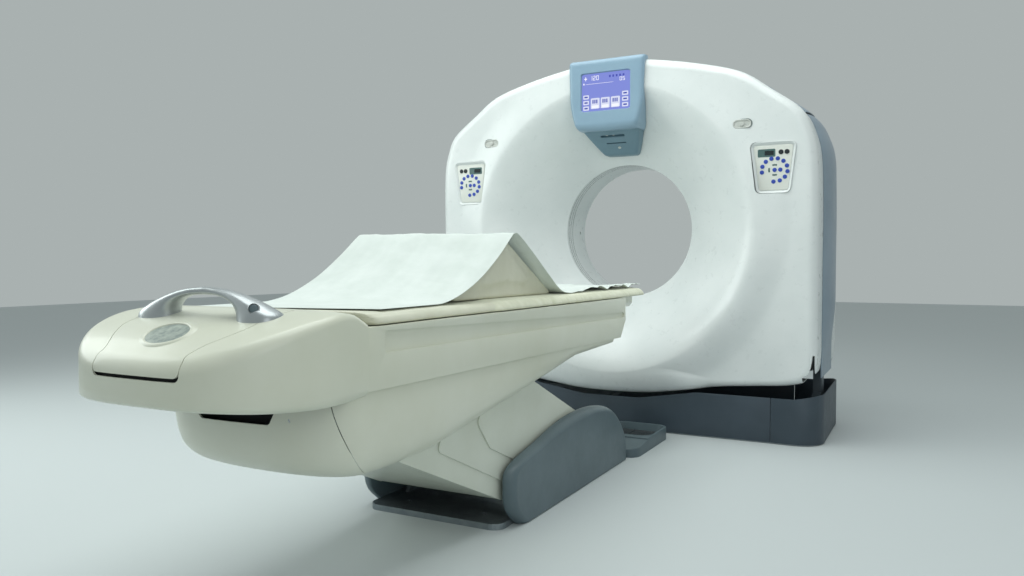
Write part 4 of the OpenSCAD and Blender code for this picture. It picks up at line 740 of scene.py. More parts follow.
chin_low, chin_high = node_box("pod_chin")
t = np.linspace(0, 1, 26)
chin_z = mix(float(chin_low[2]), float(chin_high[2]), t)
chin_w = mix(86 * MM, POD_FOOT_W - 12 * MM, t**0.85) - 8 * MM * still_to_turn(t / 0.08)
chin_face = mix(-LIP_Y - 102 * MM, POD_FACE + 76 * MM, t) + 9 * MM * still_to_turn(t / 0.08)
chin = closed_form("display_chin", slices(chin_z, chin_w, chin_face, 16 * MM, 2 * MM))
chin_slope = math.atan2(chin_face[-1] - chin_face[4], chin_z[-1] - chin_z[4])


def on_chin(flat, centre_z, deep):
    """Outline points laid on the sloping chin at a height, sunk by deep along the slope's normal."""
    y0 = np.interp(centre_z, chin_z, chin_face)
    return np.stack([flat[:, 0], y0 + flat[:, 1] * math.sin(chin_slope) + deep * math.cos(chin_slope),
                     centre_z + flat[:, 1] * math.cos(chin_slope) - deep * math.sin(chin_slope)], 1)


def chin_tool(width, height, centre_z, deep, centre_x=0.0):
    """Cutting solid for a slot in the chin."""
    ring = bar_ring(width, height, min(width, height) * 0.3) + [centre_x, 0]
    return closed_form("slot_tool", [on_chin(ring, centre_z, d) for d in (-20 * MM, deep)])


SLOT_Z, TRAY_Z, KNOB_Z = mm(1489, 1459, 1440)
cut(chin, chin_tool(128 * MM, 17 * MM, SLOT_Z, 14 * MM), chin_tool(104 * MM, 9 * MM, TRAY_Z, 12 * MM, 4 * MM))
place(chin, "gantry", chin_shaded_paint, "chin_blue", "pod_chin", angle=40)


def chin_lens(radius, centre_x, centre_z, profile):
    """Small round form on the chin, of pairs of depth in millimetres and share of the radius."""
    a = full_turn(28)
    disc = radius * np.stack([np.cos(a), np.sin(a)], 1)
    return [on_chin(s * disc + [centre_x, 0], centre_z, d * MM) for d, s in profile]


knob = chin_lens(8 * MM, 12 * MM, KNOB_Z, [(6, 1), (-3, 1), (-4.5, 0.85), (-5, 0.5)])
lamps = [chin_lens(7 * MM, x, SLOT_Z, [(13.5, 1), (9, 1), (7.5, 0.8), (7, 0.4)]) for x in mm(-34, 2)]
place(closed_form("chin_knob", knob), "gantry", pale_key, "key_panel")
place(closed_form("chin_lamps", *lamps), "gantry", pale_key, "key_panel")

# %% [markdown]
# ## What the display shows
# The panel is a flat display behind glass. Its tiles are thin raised plates in their own lit
# materials, a fifth of a millimetre apart, with plain numerals built from a few strokes each.

# %% Display panel and its tiles
PLATE = 0.5 * MM


def plates(name, boxes, proud, radius, material):
    """Thin rounded plates of one lit material, given as (left, bottom, right, top) shares of the screen."""
    grids = []
    for left, bottom, right, top in boxes:
        w, h = (right - left) * SCREEN_W, (top - bottom) * SCREEN_H
        middle = ((left + right - 1) / 2 * SCREEN_W, SCREEN_Z + (bottom + top - 1) / 2 * SCREEN_H)
        ring = bar_ring(w, h, min(radius, 0.3 * w, 0.3 * h), 24)
        grids.append([upright(ring, GLASS_Y + y, middle) for y in (-proud, PLATE - proud)])
    place(closed_form(name, *grids), "gantry", material, "screen", angle=0)


STROKES = {"0": "abcdef", "1": "bc", "2": "abged", "5": "afgcd"}
STROKE_BOXES = {"a": (0, 0.88, 1, 1), "b": (0.8, 0.5, 1, 1), "c": (0.8, 0, 1, 0.5), "d": (0, 0, 1, 0.12),
                "e": (0, 0, 0.2, 0.5), "f": (0, 0.5, 0.2, 1), "g": (0, 0.44, 1, 0.56)}


def numerals(word, left, bottom, width, height):
    """Boxes of the strokes of some digits, side by side."""
    boxes = []
    for number, digit in enumerate(word):
        x0 = left + number * width * 1.35
        for stroke in STROKES[digit]:
            l, b, r, t = STROKE_BOXES[stroke]
            boxes.append((x0 + l * width, bottom + b * height, x0 + r * width, bottom + t * height))
    return boxes


glass_ring = bar_ring(SCREEN_W - 1 * MM, SCREEN_H - 1 * MM, 4 * MM)
glass = closed_form("display_glass", [upright(glass_ring, GLASS_Y + y, (0, SCREEN_Z)) for y in (0, 6 * MM)])
place(glass, "gantry", lit_back, "screen", "display_screen", angle=0)
big = [(0.19 + 0.21 * k, 0.06, 0.375 + 0.21 * k, 0.345) for k in range(3)]
small = [(left, foot + 0.15 * k, right, foot + 0.11 + 0.15 * k)
         for left, right, foot in ((0.03, 0.15, 0.03), (0.84, 0.965, 0.05)) for k in range(3)]
marks = [(0.05, 0.86, 0.11, 0.885), (0.073, 0.82, 0.088, 0.925), (0.06, 0.725, 0.67, 0.733),
         (0.03, 0.715, 0.055, 0.76)]
marks += numerals("120", 0.17, 0.82, 0.05, 0.12) + numerals("05", 0.79, 0.745, 0.045, 0.1)
marks += [(l + 0.02, 0.075, r - 0.02, 0.15) for l, b, r, t in big]
signs = [(0.57 + 0.07 * k, 0.86, 0.605 + 0.07 * k, 0.92) for k in range(5)]
signs += [(l + 0.035 + 0.04 * k, 0.2, l + 0.06 + 0.04 * k, 0.3) for l, b, r, t in big for k in range(3)]
signs += [(l + 0.025, b + 0.035, r - 0.025, b + 0.075) for l, b, r, t in small]
plates("display_tiles", big + small, 0.4 * MM, 1.2 * MM, lit_tile)
plates("display_strokes", marks, 0.6 * MM, 0.6 * MM, lit_line)
plates("display_signs", signs, 0.6 * MM, 0.6 * MM, lit_dark)

# %% [markdown]
# ## Keypads and stop buttons
# Each keypad lies in a dish with soft, sloping walls. A cream panel fills the floor of the dish.
# It carries a small display, two dark keys, and an arc of blue keys round a ring of printed marks.

# %% Keypad dishes, panels and keys
DISH_DROP, KEY_TOP = mm(1.6, -0.4)
DISH_WALLS = (0, -1), (-0.6, 6), (-2.5, 7), (-5, 5.5), (-9, 3), (-13, -2.5), (-15, -4), (-19, -4)


def plate_rings(outline, centre, profile):
    """Rings on the leaning plate; the profile gives pairs of growth and height in millimetres."""
    return [on_plate(outline(grow * MM), *centre, out * MM) for grow, out in profile]


def discs(name, spots, radius, height, centre, base):
    """Low round keys with a rounded rim on a leaned panel: rings that rise, turn in and close."""
    a = full_turn(26)
    rim = ((-1.5 * MM, 1), (height * 0.6, 1), (height * 0.9, 0.93), (height, 0.8), (height * 1.02, 0.35))
    return closed_form(name, *(
        [on_plate(np.stack([x + s * radius * np.cos(a), z + s * radius * np.sin(a)], 1), *centre, base + out)
         for out, s in rim] for x, z in spots))


def oval(middle, degrees, across, up):
    """Places on an oval about a middle."""
    a = np.radians(degrees)
    return middle + np.stack([across * np.cos(a), up * np.sin(a)], 1) * MM


def dish_outline(grow):
    """The keypad's outline; the deep part of the dish lies a little lower than its edge."""
    return key_outline(grow) - [0, DISH_DROP * (grow < -10 * MM)]


for side, word in ((-1, "left"), (1, "right")):
    spot = (side * KEY_X, KEY_Z)
    walls = plate_rings(dish_outline, spot, DISH_WALLS)
    dish = surface(f"key_dish_{word}", np.stack(walls), ring_columns=True)
    thicken(clean(dish), 2 * MM, -1)
    place(dish, "gantry", shell_paint, "white_cover", f"keypad_{word}", angle=50)
    panel = plate_rings(dish_outline, spot, ((-16, -6), (-16, -1.8), (-17, -0.8), (-19, -0.4)))
    place(closed_form(f"key_panel_{word}", panel), "gantry", key_plate, "key_panel")
    for part, bar, x, low, high, material, slot in (
            ("display", (78, 36, 4), -30 * side, -1.4, 0.4, lcd_frame, "key_panel"),
            ("glass", (40, 20, 2), 12 - 30 * side, -0.4, 0.8, screen_glass, "screen")):
        ring = bar_ring(*mm(*bar)) + mm(x, 66)
        piece = closed_form(f"key_{part}_{word}", [on_plate(ring, *spot, out) for out in mm(low, high)])
        place(piece, "gantry", material, slot, angle=0)
    middle = mm(6 * side, -12)
    arc = np.concatenate([oval(middle, -95 + 28.5 * np.arange(11), 57, 53), [middle, middle + [25 * MM, 0]]])
    marks = oval(middle, [75, 90, 105, 165, 180, 195, 255, 270, 285], 25, 23)
    for part, spots, radius, height, material, slot in (
            ("round", mm((34 * side, 68), (60 * side, 68)), 11, 3.5, dark_abs, "dark"),
            ("arc", arc, 9.6, 2.6, blue_key, "key_panel"),
            ("print", marks, 4.2, 0.8, lcd_frame, "key_panel")):
        keys = discs(f"key_{part}_{word}", spots, radius * MM, height * MM, spot, KEY_TOP)
        place(keys, "gantry", material, slot)

    spot = (side * STOP_X, STOP_Z)
    bezel = plate_rings(stop_outline, spot, ((0, -4), (0, 9), (-1.2, 10.5), (-4, 10.5), (-5.5, 8), (-7, 6.5)))
    place(closed_form(f"stop_bezel_{word}", bezel), "gantry", pale_key, "white_cover",
          *(["stop_bezels"] if side > 0 else []))
    seal = plate_rings(stop_outline, spot, ((0.2, 2), (2.4, 5.2), (3.4, 5.4), (3.6, 2), (0.2, 2)))
    gasket = clean(surface(f"stop_gasket_{word}", np.stack(seal), ring_columns=True))
    place(gasket, "gantry", lcd_frame, "dark")
    button = discs(f"stop_cap_{word}", [(0, 0)], 10.5 * MM, 4 * MM, spot, 8 * MM)
    place(button, f"stop_{word}", pale_key, "white_cover", f"stop_button_{word}")

# %% [markdown]
# ## The table's foot cover
# The foot cover is half an oval in plan, a little broader than the table. Its top keeps its
# height behind the handle and then falls in a long slope to the foot. A soft corner of growing
# radius leads into the upright wall, which ends in a rolled lip.

# %% Foot cover
TOP_W, RAIL_FOOT, NOSE_L, NOSE_LOW, TABLE_WALL = mm(305, 2750, 377, 545, 5)
NOSE_N, NOSE_SPREAD, NOSE_CROWN = 3.2, 24 * MM, 7 * MM
slope_line = spline(mm([-60, 700], [0, 702], [18, 711], [45, 724], [90, 729], [140, 724.5], [193, 715],
                       [245, 701], [287, 686], [320, 671], [346, 656], [378, 641]), 6)
lip = np.array([[0.25, 1], [0.5, 1], [0.75, 1], [1, 1], [1.03, 0.997], [1.07, 0.988], [1.1, 0.974],
                [1.12, 0.955], [1.13, 0.92]])


def slope_z(d):
    """Height of the top at the distance d from the rails' end, towards the foot."""
    return np.interp(d, slope_line[:, 0], slope_line[:, 1])


def half_width(d):
    """Half width that the cover aims at, growing from the rails' own width."""
    return TOP_W + 0.8 * MM + NOSE_SPREAD * ease(d / (190 * MM))


def corner_radius(depth):
    """Radius of the soft corner where the cover's outline is that deep."""
    return mix(8 * MM, 25 * MM, (np.clip(depth, 0, NOSE_L) / NOSE_L)**1.2)


def nose_top(x, y):
    """Height of the cover's outer face over a point of the plan."""
    d = np.maximum(-y - RAIL_FOOT, 0)
    share = ((np.abs(x) / half_width(d))**NOSE_N + (d / NOSE_L)**NOSE_N)**(1 / NOSE_N)
    share = np.clip(share, 0.001, 1)
    corner = corner_radius(d / share)
    past = np.clip(1 - (1 - share) * np.hypot(x, d) / share / corner, 0, 1)
    return slope_z(d) + NOSE_CROWN * (1 - share**4) - corner * (1 - np.sqrt(1 - past**2))


def nose_surface(name, last=None, inset=0.0, columns=193, thick=TABLE_WALL):
    """The cover with its wall grown inwards; last cuts rows off the lip, and inset draws it all in."""
    a = np.linspace(0, np.pi, columns)[None]
    depth = (NOSE_L - inset) * np.sin(a)**(2 / NOSE_N)
    width = (half_width(depth) - inset) * np.abs(np.cos(a))**(2 / NOSE_N)
    corner = corner_radius(depth)
    flat = 1 - corner / np.hypot(depth, width)
    t = np.linspace(0.02, 1, 44)[:, None]
    turn = quarter(12)[1:, None]
    share = np.concatenate([flat * t, flat + (1 - flat) * np.sin(turn)])
    fall = np.concatenate([0 * t * corner, corner * (1 - np.cos(turn))])
    z = slope_z(share * depth) + NOSE_CROWN * (1 - share**4) - fall - inset
    wall = lip[:last]
    share = np.concatenate([share, wall[:, 1:] + 0 * a])
    z = np.concatenate([z, mix(z[-1:], NOSE_LOW + 14 * MM, wall[:, :1])])
    x = share * width * np.sign(np.cos(a))
    return thicken(surface(name, np.stack([x, -RAIL_FOOT - share * depth, z], -1), flip=True), thick, -1)


OVER_ALL = 0.78


def plan_solid(name, outline, gap, low):
    """Upright solid over an outline in the floor plan, drawn in by gap and rounded at its low corners."""
    levels = [(low + up, inset) for up, inset in mm((0, 13), (1.5, 7.5), (5, 3), (9, 0.8), (14, 0))]
    rings = [(outline(gap + inset), z) for z, inset in levels + [(OVER_ALL, 0)]]
    return closed_form(name, [np.c_[ring, np.full(len(ring), z)] for ring, z in rings])


# %% The tongue, a separate moulding in the foot cover
# Painted shade: a darker tone for the thin line of a shallow crease in the tongue.
crease_shade = finish("painted shade in a shallow crease", "#A9A894", "#9C9B86", 0.6, 2, 0.01)
TONGUE_Z, TONGUE_GAP, TONGUE_LIFT = mm(608, 1.9, 8)
tongue_half = mm([186, 105], [189, 180], [190, 250], [171, 290], [148, 321], [133, 343], [130, 356],
                 [133, 366], [133, 400])


def tongue_plan(inset):
    """The tongue's outline in plan: widest under the handle's feet, narrow and waisted at the lip."""
    half = spline(tongue_half * [1, -1] + [-inset, -RAIL_FOOT], 8)
    half[0, 1] -= inset
    return np.concatenate([half, half[::-1] * [-1, 1]])


nose = nose_surface("foot_shell")
cut(nose, plan_solid("tongue_tool", tongue_plan, 0, TONGUE_Z))
place(nose, "table_top", table_abs, "ivory", "foot_cover", angle=38)

tongue = nose_surface("tongue_shell", last=-5)
cut(tongue, plan_solid("tongue_keep", tongue_plan, TONGUE_GAP, TONGUE_Z + TONGUE_LIFT), operation="INTERSECT")
place(tongue, "table_top", table_abs, "ivory", "foot_tongue", angle=38)

# A near-black sheet just inside the foot cover: painted shade, seen through the tongue's seam.
inside = nose_surface("cover_shade_sheet", last=-5, inset=7 * MM, columns=97, thick=1 * MM)
place(inside, "table_top", gap_shade, "ivory", angle=38)

# The crease is a thin tube of that darker tone, half sunk in the tongue: painted shade of a shallow groove.
CREASE_W, CREASE_H = mm(1.1, 0.25)
x = np.linspace(-106, 128, 90)[:, None] * MM
d = 366 * MM - 26 * MM * np.abs((x - 8 * MM) / (122 * MM))**2.2
w = full_turn(8)[None]
y = -RAIL_FOOT - d + CREASE_W * np.cos(w)
crease = np.stack([x + 0 * w, y, nose_top(x, y) + CREASE_H * np.sin(w)], -1)
place(closed_form("tongue_crease", crease), "table_top", crease_shade, "ivory")

# %% The oval boss with its inlay
BOSS_D, BOSS_Z, BOSS_TILT = *mm(292, 694), math.radians(27)


def on_boss(profile):
    """Rings of the boss: ellipses on a plane that leans a little more than the tongue."""
    a, rings = full_turn(72), []
    for radius_x, radius_y, height in mm(*profile):
        d = radius_y * np.sin(a)
        rings.append(np.stack([radius_x * np.cos(a),
                               -RAIL_FOOT - BOSS_D + d * math.cos(BOSS_TILT) - height * math.sin(BOSS_TILT),
                               BOSS_Z + d * math.sin(BOSS_TILT) + height * math.cos(BOSS_TILT)], 1))
    return rings


boss = on_boss([(104, 78, -16), (92, 67, -9), (82, 59, -5.5), (74, 53, -2.6), (69, 49, 0.4), (65, 46, 2.4),
                (61.5, 43.2, 3.2), (59, 41, 3.0), (57.4, 39.6, 1.6), (56.8, 39, 0)])
place(closed_form("oval_boss", boss), "table_top", table_abs, "ivory", angle=60)
mottled = finish("mottled grey vinyl inlay", "#A9B2A8", "#7F8B86", 0.42, 5, 0.06, patch_mm=16)
inlay = on_boss([(56.8, 39, -0.6), (56.8, 39, 0.6), (55, 37.4, 1.2), (40, 26, 1.5)])
place(closed_form("oval_inlay", inlay), "table_top", mottled, "shoe_grey", angle=40)

# %% [markdown]
# ## The handle
# The silver arch is slender at its crown and broad at its legs. Two curves give its outer and its
# inner edge as seen from the foot, and each section is a rounded bar between them, which grows
# deep towards the surface that it stands on.

# %% Handle arch and its button
HANDLE_D = 188 * MM


def both_halves(*half):
    """Edge of the arch from foot to foot, from the points of its right half."""
    line = even(spline(mm(*half), 8), 37, closed=False)
    return np.concatenate([line, line[-2::-1] * [-1, 1]])


edge_out = both_halves([212, 708], [207, 733], [180, 749], [150, 762], [104, 778], [53, 789], [0, 793])
edge_in = both_halves([106, 708], [104, 735], [94, 752], [76, 764], [52, 771], [26, 774], [0, 775])
low = np.abs(np.linspace(1, -1, len(edge_out)))[:, None]
middle, half = (edge_out + edge_in) / 2, (edge_out - edge_in) / 2
depth = mix(13 * MM, 43 * MM, low**1.7)
j = full_turn(40)[None]
u = np.sign(np.cos(j)) * np.abs(np.cos(j))**0.8
v = np.sign(np.sin(j)) * np.abs(np.sin(j))**0.85
px, pz = (middle[:, k:k + 1] + half[:, k:k + 1] * u for k in (0, 1))
swept = mix(0, 6 * MM, low) + mix(0, 20 * MM, low**3) * np.clip(v, 0, 1) * np.clip(u, 0, 1)
py = -RAIL_FOOT - HANDLE_D + depth * v + swept
for end in (0, -1):
    pz[end] = nose_top(px[end], py[end]) - 0.5 * MM
handle = closed_form("handle_bar", np.stack([px, py, pz], -1))
place(handle, "table_top", silver_lacquer, "satin_steel", "handle_arch", angle=50)

RELEASE = mm(167, -207, 747) - [0, RAIL_FOOT, 0]
turned, lifted = math.radians(36), math.radians(14)
out_way = np.array([math.sin(turned) * math.cos(lifted), -math.cos(turned) * math.cos(lifted),
                    math.sin(lifted)])
side_way = np.array([math.cos(turned), math.sin(turned), 0])
up_way = np.cross(out_way, side_way)


def release_form(name, *profile):
    """Turned form about the button's axis, of pairs of radius and height in millimetres."""
    a = full_turn(40)[:, None]
    rim = np.cos(a) * side_way + np.sin(a) * up_way
    return closed_form(name, [RELEASE + r * rim + h * out_way for r, h in mm(*profile)])


collar = release_form("release_collar", (12.5, -14), (12.5, 5.4), (11.8, 6.2), (10.6, 6.2), (10.2, 5),
                      (10, -2))
place(collar, "table_top", turned_steel, "satin_steel", angle=50)
button = release_form("release_cap", (9.7, -8), (9.7, 5.2), (8.8, 6.4), (4, 7))
place(button, "release", shoe_foam, "dark", "release_button", angle=50)

# %% [markdown]
# ## The housing under the table
# Below the foot cover hangs a rounded tub. Its rings follow the same kind of oval, each lower and
# further in. A seam that leans back parts the nose moulding from the two sides, which run on
# towards the gantry. The nose has a slot, darkened by a sheet of painted shade behind it, and a screw.

# %% Housing
HULL_N, SIDE_END, RAIL_SLOPE = 2.5, 1120 * MM, 14 / 1700
hull_share = np.array([0, 0.2, 0.42, 0.62, 0.78, 0.9, 0.97, 1])[:, None]
hull_size = mm([291, 2858, 2740], [291, 2857, 2740], [290, 2854, 2738], [286, 2846, 2732], [278, 2832, 2722],
               [262, 2806, 2700], [240, 2770, 2670], [215, 2730, 2640])
belly_line = mm([-2880, 338], [-2560, 332], [-2400, 340], [-2033, 400], [-1698, 456], [-1485, 500],
                [-1120, 516])


def hull_height(t, y):
    """Height of the housing's face at the share t of the way down from the seam to the belly."""
    top = np.minimum(548 * MM - (y + RAIL_FOOT) * RAIL_SLOPE, NOSE_LOW + 4 * MM) - 2.4 * MM
    return mix(top, np.interp(y, belly_line[:, 0], belly_line[:, 1]), t)


def hull_point(t, half, front, back, angle, inset=0.0):
    """Points of the tub's rings at the plan angle, drawn in by inset."""
    x = (half - inset) * np.sign(np.cos(angle)) * np.abs(np.cos(angle))**(2 / HULL_N)
    y = -back - (front - back - inset) * np.abs(np.sin(angle))**(2 / HULL_N)
    return np.stack([x, y, hull_height(t, y)], -1)


rings = spline(np.hstack([hull_share, hull_size]), 6).T[:, :, None]
seam_angle = np.radians(34) * (1 - rings[0]**1.6) + 0.004
across = np.linspace(0, 1, 121)[None]
tub = surface("housing_nose", hull_point(*rings, mix(seam_angle, np.pi - seam_angle, across)), flip=True)
thicken(tub, TABLE_WALL, -1)
slot_plan = mm([-117, 470], [106, 473], [134, 524], [134, 560], [-152, 560], [-152, 520])
slot_ring = rounded(slot_plan, 10 * MM, 90)
SLOT_FRONT, SLOT_BACK = -2.95, -2.78
cut(tub, closed_form("slot_tool", [np.insert(slot_ring, 1, y, axis=1) for y in (SLOT_FRONT, SLOT_BACK)]))
place(tub, "table_top", table_abs, "ivory", "housing_cap", angle=40)
# A near-black sheet behind the nose's slot: painted shade of the slot's inside.
pocket_shade = hull_point(*rings, mix(np.radians(50), np.radians(130), across), 26 * MM)[4:26]
place(surface("housing_pocket_shade", pocket_shade, flip=True), "table_top", gap_shade, "ivory", angle=0)

for side, word in ((-1, "left"), (1, "right")):
    corner = hull_point(*rings, mix(seam_angle - 0.012, 0, np.linspace(0, 1, 14)[None]))
    y = mix(corner[:, -1:, 1], -SIDE_END, np.linspace(0, 1, 90)[None, 1:])
    straight = np.stack([rings[1] + 0 * y, y, hull_height(rings[0], y)], -1)
    flank = np.concatenate([corner, straight], 1) * [side, 1, 1]
    flank = thicken(surface(f"housing_side_{word}", flank, flip=side < 0), TABLE_WALL, -1)
    place(flank, "table_top", table_abs, "ivory", *(["housing_sides"] if side > 0 else []), angle=40)

SCREW = mm(166, -2842, 489)
SCREW_LEAN = 0.32
w = full_turn(28)
screw = [SCREW + np.stack([r * np.cos(w), SCREW_LEAN * r * np.cos(w) - d, r * np.sin(w)], 1)
         for r, d in mm((8, -8), (8, 5), (6.8, 6.4), (3.4, 6.6), (3.2, 4.4))]
place(closed_form("housing_screw", screw), "table_top", turned_steel, "steel")

# %% [markdown]
# ## Covers that keep their solids' shape
# The flat panels, leg covers and pedals are already right as solids, but their edges are
# perfectly sharp. A moulded edge always has a small radius, so each gets a copy of its mesh with
# the doubles merged and a fine bevel along its hard edges.

# %% Softened copies of the CAD meshes
def soften(node, body, material, slot, width, segments=2):
    """Copy of a CAD node's mesh with bevelled edges, its width in millimetres, in place of the sharp one."""
    piece = bpy.data.objects.new(node + "_soft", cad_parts[node].data.copy())
    bpy.context.scene.collection.objects.link(piece)
    clean(piece, 1e-5, outward=False)
    modifier(piece, "BEVEL", width=width * MM, segments=segments, limit_method="ANGLE",
             angle_limit=math.radians(32), harden_normals=False)
    place(settle(piece), body, material, slot, node, angle=45)


for node in ("base_front_panel", "base_side_panels", "base_rear_panel"):
    soften(node, "base", base_plastic, "slate", 2)
for node in ("rail_panel_left", "rail_panel_right"):
    soften(node, "table_top", table_abs, "ivory", 3, 3)
for part in ("upper", "middle", "lower"):
    soften("leg_cover_" + part, part + "_leg", leg_abs, "ivory", 1.6)
soften("pedal_tray", "base", shoe_foam, "shoe_grey", 2.5, 3)
for node in ("pedal_up", "pedal_down"):
    soften(node, node, dark_abs, "dark", 1.2)

# %% [markdown]
# ## The base's shoes
# Beside the legs stand two long shoes of skinned foam. Their outline in side view is a smooth
# curve, and their outer face is rounded over with a wide radius.

# %% Shoes
shoe_line = mm([-1934, 0], [-2000, 60], [-2016, 130], [-1990, 196], [-1796, 240], [-1611, 276], [-1440, 288],
               [-1273, 280], [-1135, 250], [-1030, 186], [-958, 96], [-946, 0])
shoe_side = even(spline(shoe_line, 14), 150, closed=False)
to_middle = shoe_side - mm(-1495, 60)
to_middle /= np.linalg.norm(to_middle, axis=1)[:, None]
SHOE_OUT, SHOE_ROUND = mm(300, 34)
k = quarter(14)
xs = np.concatenate([mm(258, 262), SHOE_OUT - SHOE_ROUND * (1 - np.sin(k))])
insets = np.concatenate([mm(6, 0.5), SHOE_ROUND * (1 - np.cos(k))])
for side, word in ((-1, "left"), (1, "right")):
    sections = []
    for x, inset in zip(xs, insets):
        line = shoe_side - inset * to_middle
        sections.append(np.c_[np.full(len(line), side * x), line[:, 0], np.maximum(line[:, 1], 0)])
    shoe = closed_form(f"base_shoe_{word}", sections)
    place(shoe, "base", shoe_foam, "shoe_grey", f"foot_shoe_{word}", angle=50)

# %% [markdown]
# ## Lines on the bore's wall
# Three thin dark strips run round the liner's wall, where its turned grooves show as dark lines.

# %% Bore lines
LINE_Y, LINE_STEP, LINE_HALF, LINE_LIFT = mm(-102.6, 26, 1.6, 0.25)
w, ring_r = full_turn(240)[:, None], BORE_R - LINE_LIFT
for k in range(3):
    ys = LINE_Y + LINE_STEP * k + LINE_HALF * np.array([[-1, 1]])
    grid = np.stack([ring_r * np.sin(w) + 0 * ys, ys + 0 * w, ISO_Z + ring_r * np.cos(w) + 0 * ys], -1)
    place(surface(f"bore_line_{k + 1}", grid, ring_rows=True), "gantry", dark_abs, "dark")

# %% [markdown]
# ## The pad
# The mattress is a long foam slab in a vinyl cover. Its top is crowned a little, its shoulders
# rest on the rails, its sides wander between the seams, and at the head end it is rounded off in
# plan.

# %% Pad
pad_low, pad_high = node_box("mattress")
PAD_Z, PAD_FOOT, PAD_TIP = float(pad_high[2]), float(-pad_low[1]), float(-pad_high[1])
WING_W, TIP_L = mm(296, 150)


def pad_section():
    """Half of the pad's section: under its wing, round the shoulder on the rail, over the crowned top."""
    under = mm([0, 665.5], [198, 671.5], [228, 700], [239, 702], [243, 700])
    shoulder = np.array([WING_W, 0]) + mm([-8, 699], [-2, 701], [0, 706], [-5, 716], [-18, 726], [-38, 0])
    shoulder[-1, 1] = PAD_Z - 1 * MM
    top_x = np.linspace(WING_W - 50 * MM, 0, 16)
    top = np.stack([top_x, PAD_Z + 2 * MM * (1 - (top_x / WING_W)**4)], 1)
    return np.concatenate([under, spline(shoulder, 4), top])


half = pad_section()
ring = np.concatenate([half, (half * [-1, 1])[::-1][1:-1]])
TIP_FROM = -PAD_TIP - TIP_L
round_tip = TIP_FROM + (TIP_L - 2 * MM) * np.sin(quarter(14)[1:])
ys = np.concatenate([np.linspace(-PAD_FOOT + 2 * MM, TIP_FROM, 90), round_tip])
tip = np.clip((ys - TIP_FROM) / TIP_L, 0, 0.999)
widths = np.maximum(np.sqrt(1 - tip**2), 0.12)
pad = closed_form("patient_pad", [
    np.c_[ring[:, 0] * w, np.full(len(ring), y), ring[:, 1]] for y, w in zip(ys, widths)])
co = np.array([v.co for v in pad.data.vertices])
rng = np.random.default_rng(7)
side_share = np.clip((np.abs(co[:, 0]) - 225 * MM) / (30 * MM), 0, 1)
waves = zip((1.0, 0.7, 0.5, 0.35), (9, 17, 31, 53), rng.uniform(0, 6, 4))
wave = sum(a * np.sin(co[:, 1] * f + p) for a, f, p in waves)
co[:, 0] -= np.sign(co[:, 0]) * side_share * 1.2 * MM * (1 + wave)
co[:, 2] += (0.6 * wave - 1) * MM * (co[:, 2] > 720 * MM)
pad.data.vertices.foreach_set("co", co.ravel())
modifier(pad, "SUBSURF", levels=1, render_levels=1)
place(settle(pad), "cradle", pad_vinyl, "cloth_pad", "mattress", angle=60)

# %% [markdown]
# ## The knee wedge
# The wedge lies under the sheet, its ridge a little askew. It is drawn a bit small, and a short
# cloth simulation with air pressure inside fills it out. The side face that shows is cream vinyl.

# %% Soft form by pressure
PRESSURE, FRAMES = 4.0, 20


def inflate(piece, voxel, cap, hold):
    """Remeshes a closed piece and lets a pressurised cloth fill it, by cap at most and by hold's share."""
    modifier(piece, "REMESH", mode="VOXEL", voxel_size=voxel)
    settle(piece)
    start = np.array([v.co for v in piece.data.vertices])
    cloth = piece.modifiers.new("cloth", "CLOTH")
    cloth.settings.use_pressure = True
    cloth.settings.uniform_pressure_force = PRESSURE
    cloth.settings.effector_weights.gravity = 0
    cloth.settings.quality = 5
    cloth.point_cache.frame_start, cloth.point_cache.frame_end = 1, FRAMES
    for frame_number in range(1, FRAMES + 1):
        bpy.context.scene.frame_set(frame_number)
    graph = bpy.context.evaluated_depsgraph_get()
    moved = np.array([v.co for v in piece.evaluated_get(graph).data.vertices]) - start
    piece.modifiers.clear()
    bpy.context.scene.frame_set(1)
    far = np.linalg.norm(moved, axis=1, keepdims=True)
    moved *= cap * np.tanh(far / cap) / np.maximum(far, 1e-9) * hold(start)[:, None]
    piece.data.vertices.foreach_set("co", (start + moved).ravel())
    modifier(piece, "SUBSURF", levels=1, render_levels=1)
    return settle(piece)


# %% Wedge
wedge_low, wedge_high = node_box("knee_wedge")
WEDGE_W, WEDGE_Z = float(wedge_high[0]) - 4 * MM, float(wedge_low[2])
WEDGE_FOOT, WEDGE_HEAD = float(wedge_low[1]) - 60 * MM, float(wedge_high[1]) + 45 * MM
RIDGE_Y, RIDGE_SKEW, RIDGE_Z = mm(-1990, 66, 938)
EDGE_IN, FOOT_UP = mm(6, 3)
sections = []
for share in np.linspace(-1, 1, 17):
    corners = [[WEDGE_FOOT + EDGE_IN, WEDGE_Z + FOOT_UP], [WEDGE_HEAD - EDGE_IN, WEDGE_Z + FOOT_UP],
               [RIDGE_Y + RIDGE_SKEW * share, RIDGE_Z - 4 * MM]]
    sections.append(np.insert(rounded(corners, 7 * MM, 90), 0, share * WEDGE_W, axis=1))
wedge = closed_form("knee_block", sections)
inflate(wedge, 6 * MM, 4 * MM, lambda p: np.clip((p[:, 2] - WEDGE_Z - 4 * MM) / (20 * MM), 0, 1))
place(wedge, "cradle", wedge_vinyl, "foam", "knee_wedge", angle=180)

# %% [markdown]
# ## The loose cover at the head end
# A cream cotton cover is tucked over the pad's shoulder. It follows the pad and falls to the
# rail's edge in small upright folds, which are deeper towards its hem. Its first edge is tucked in.

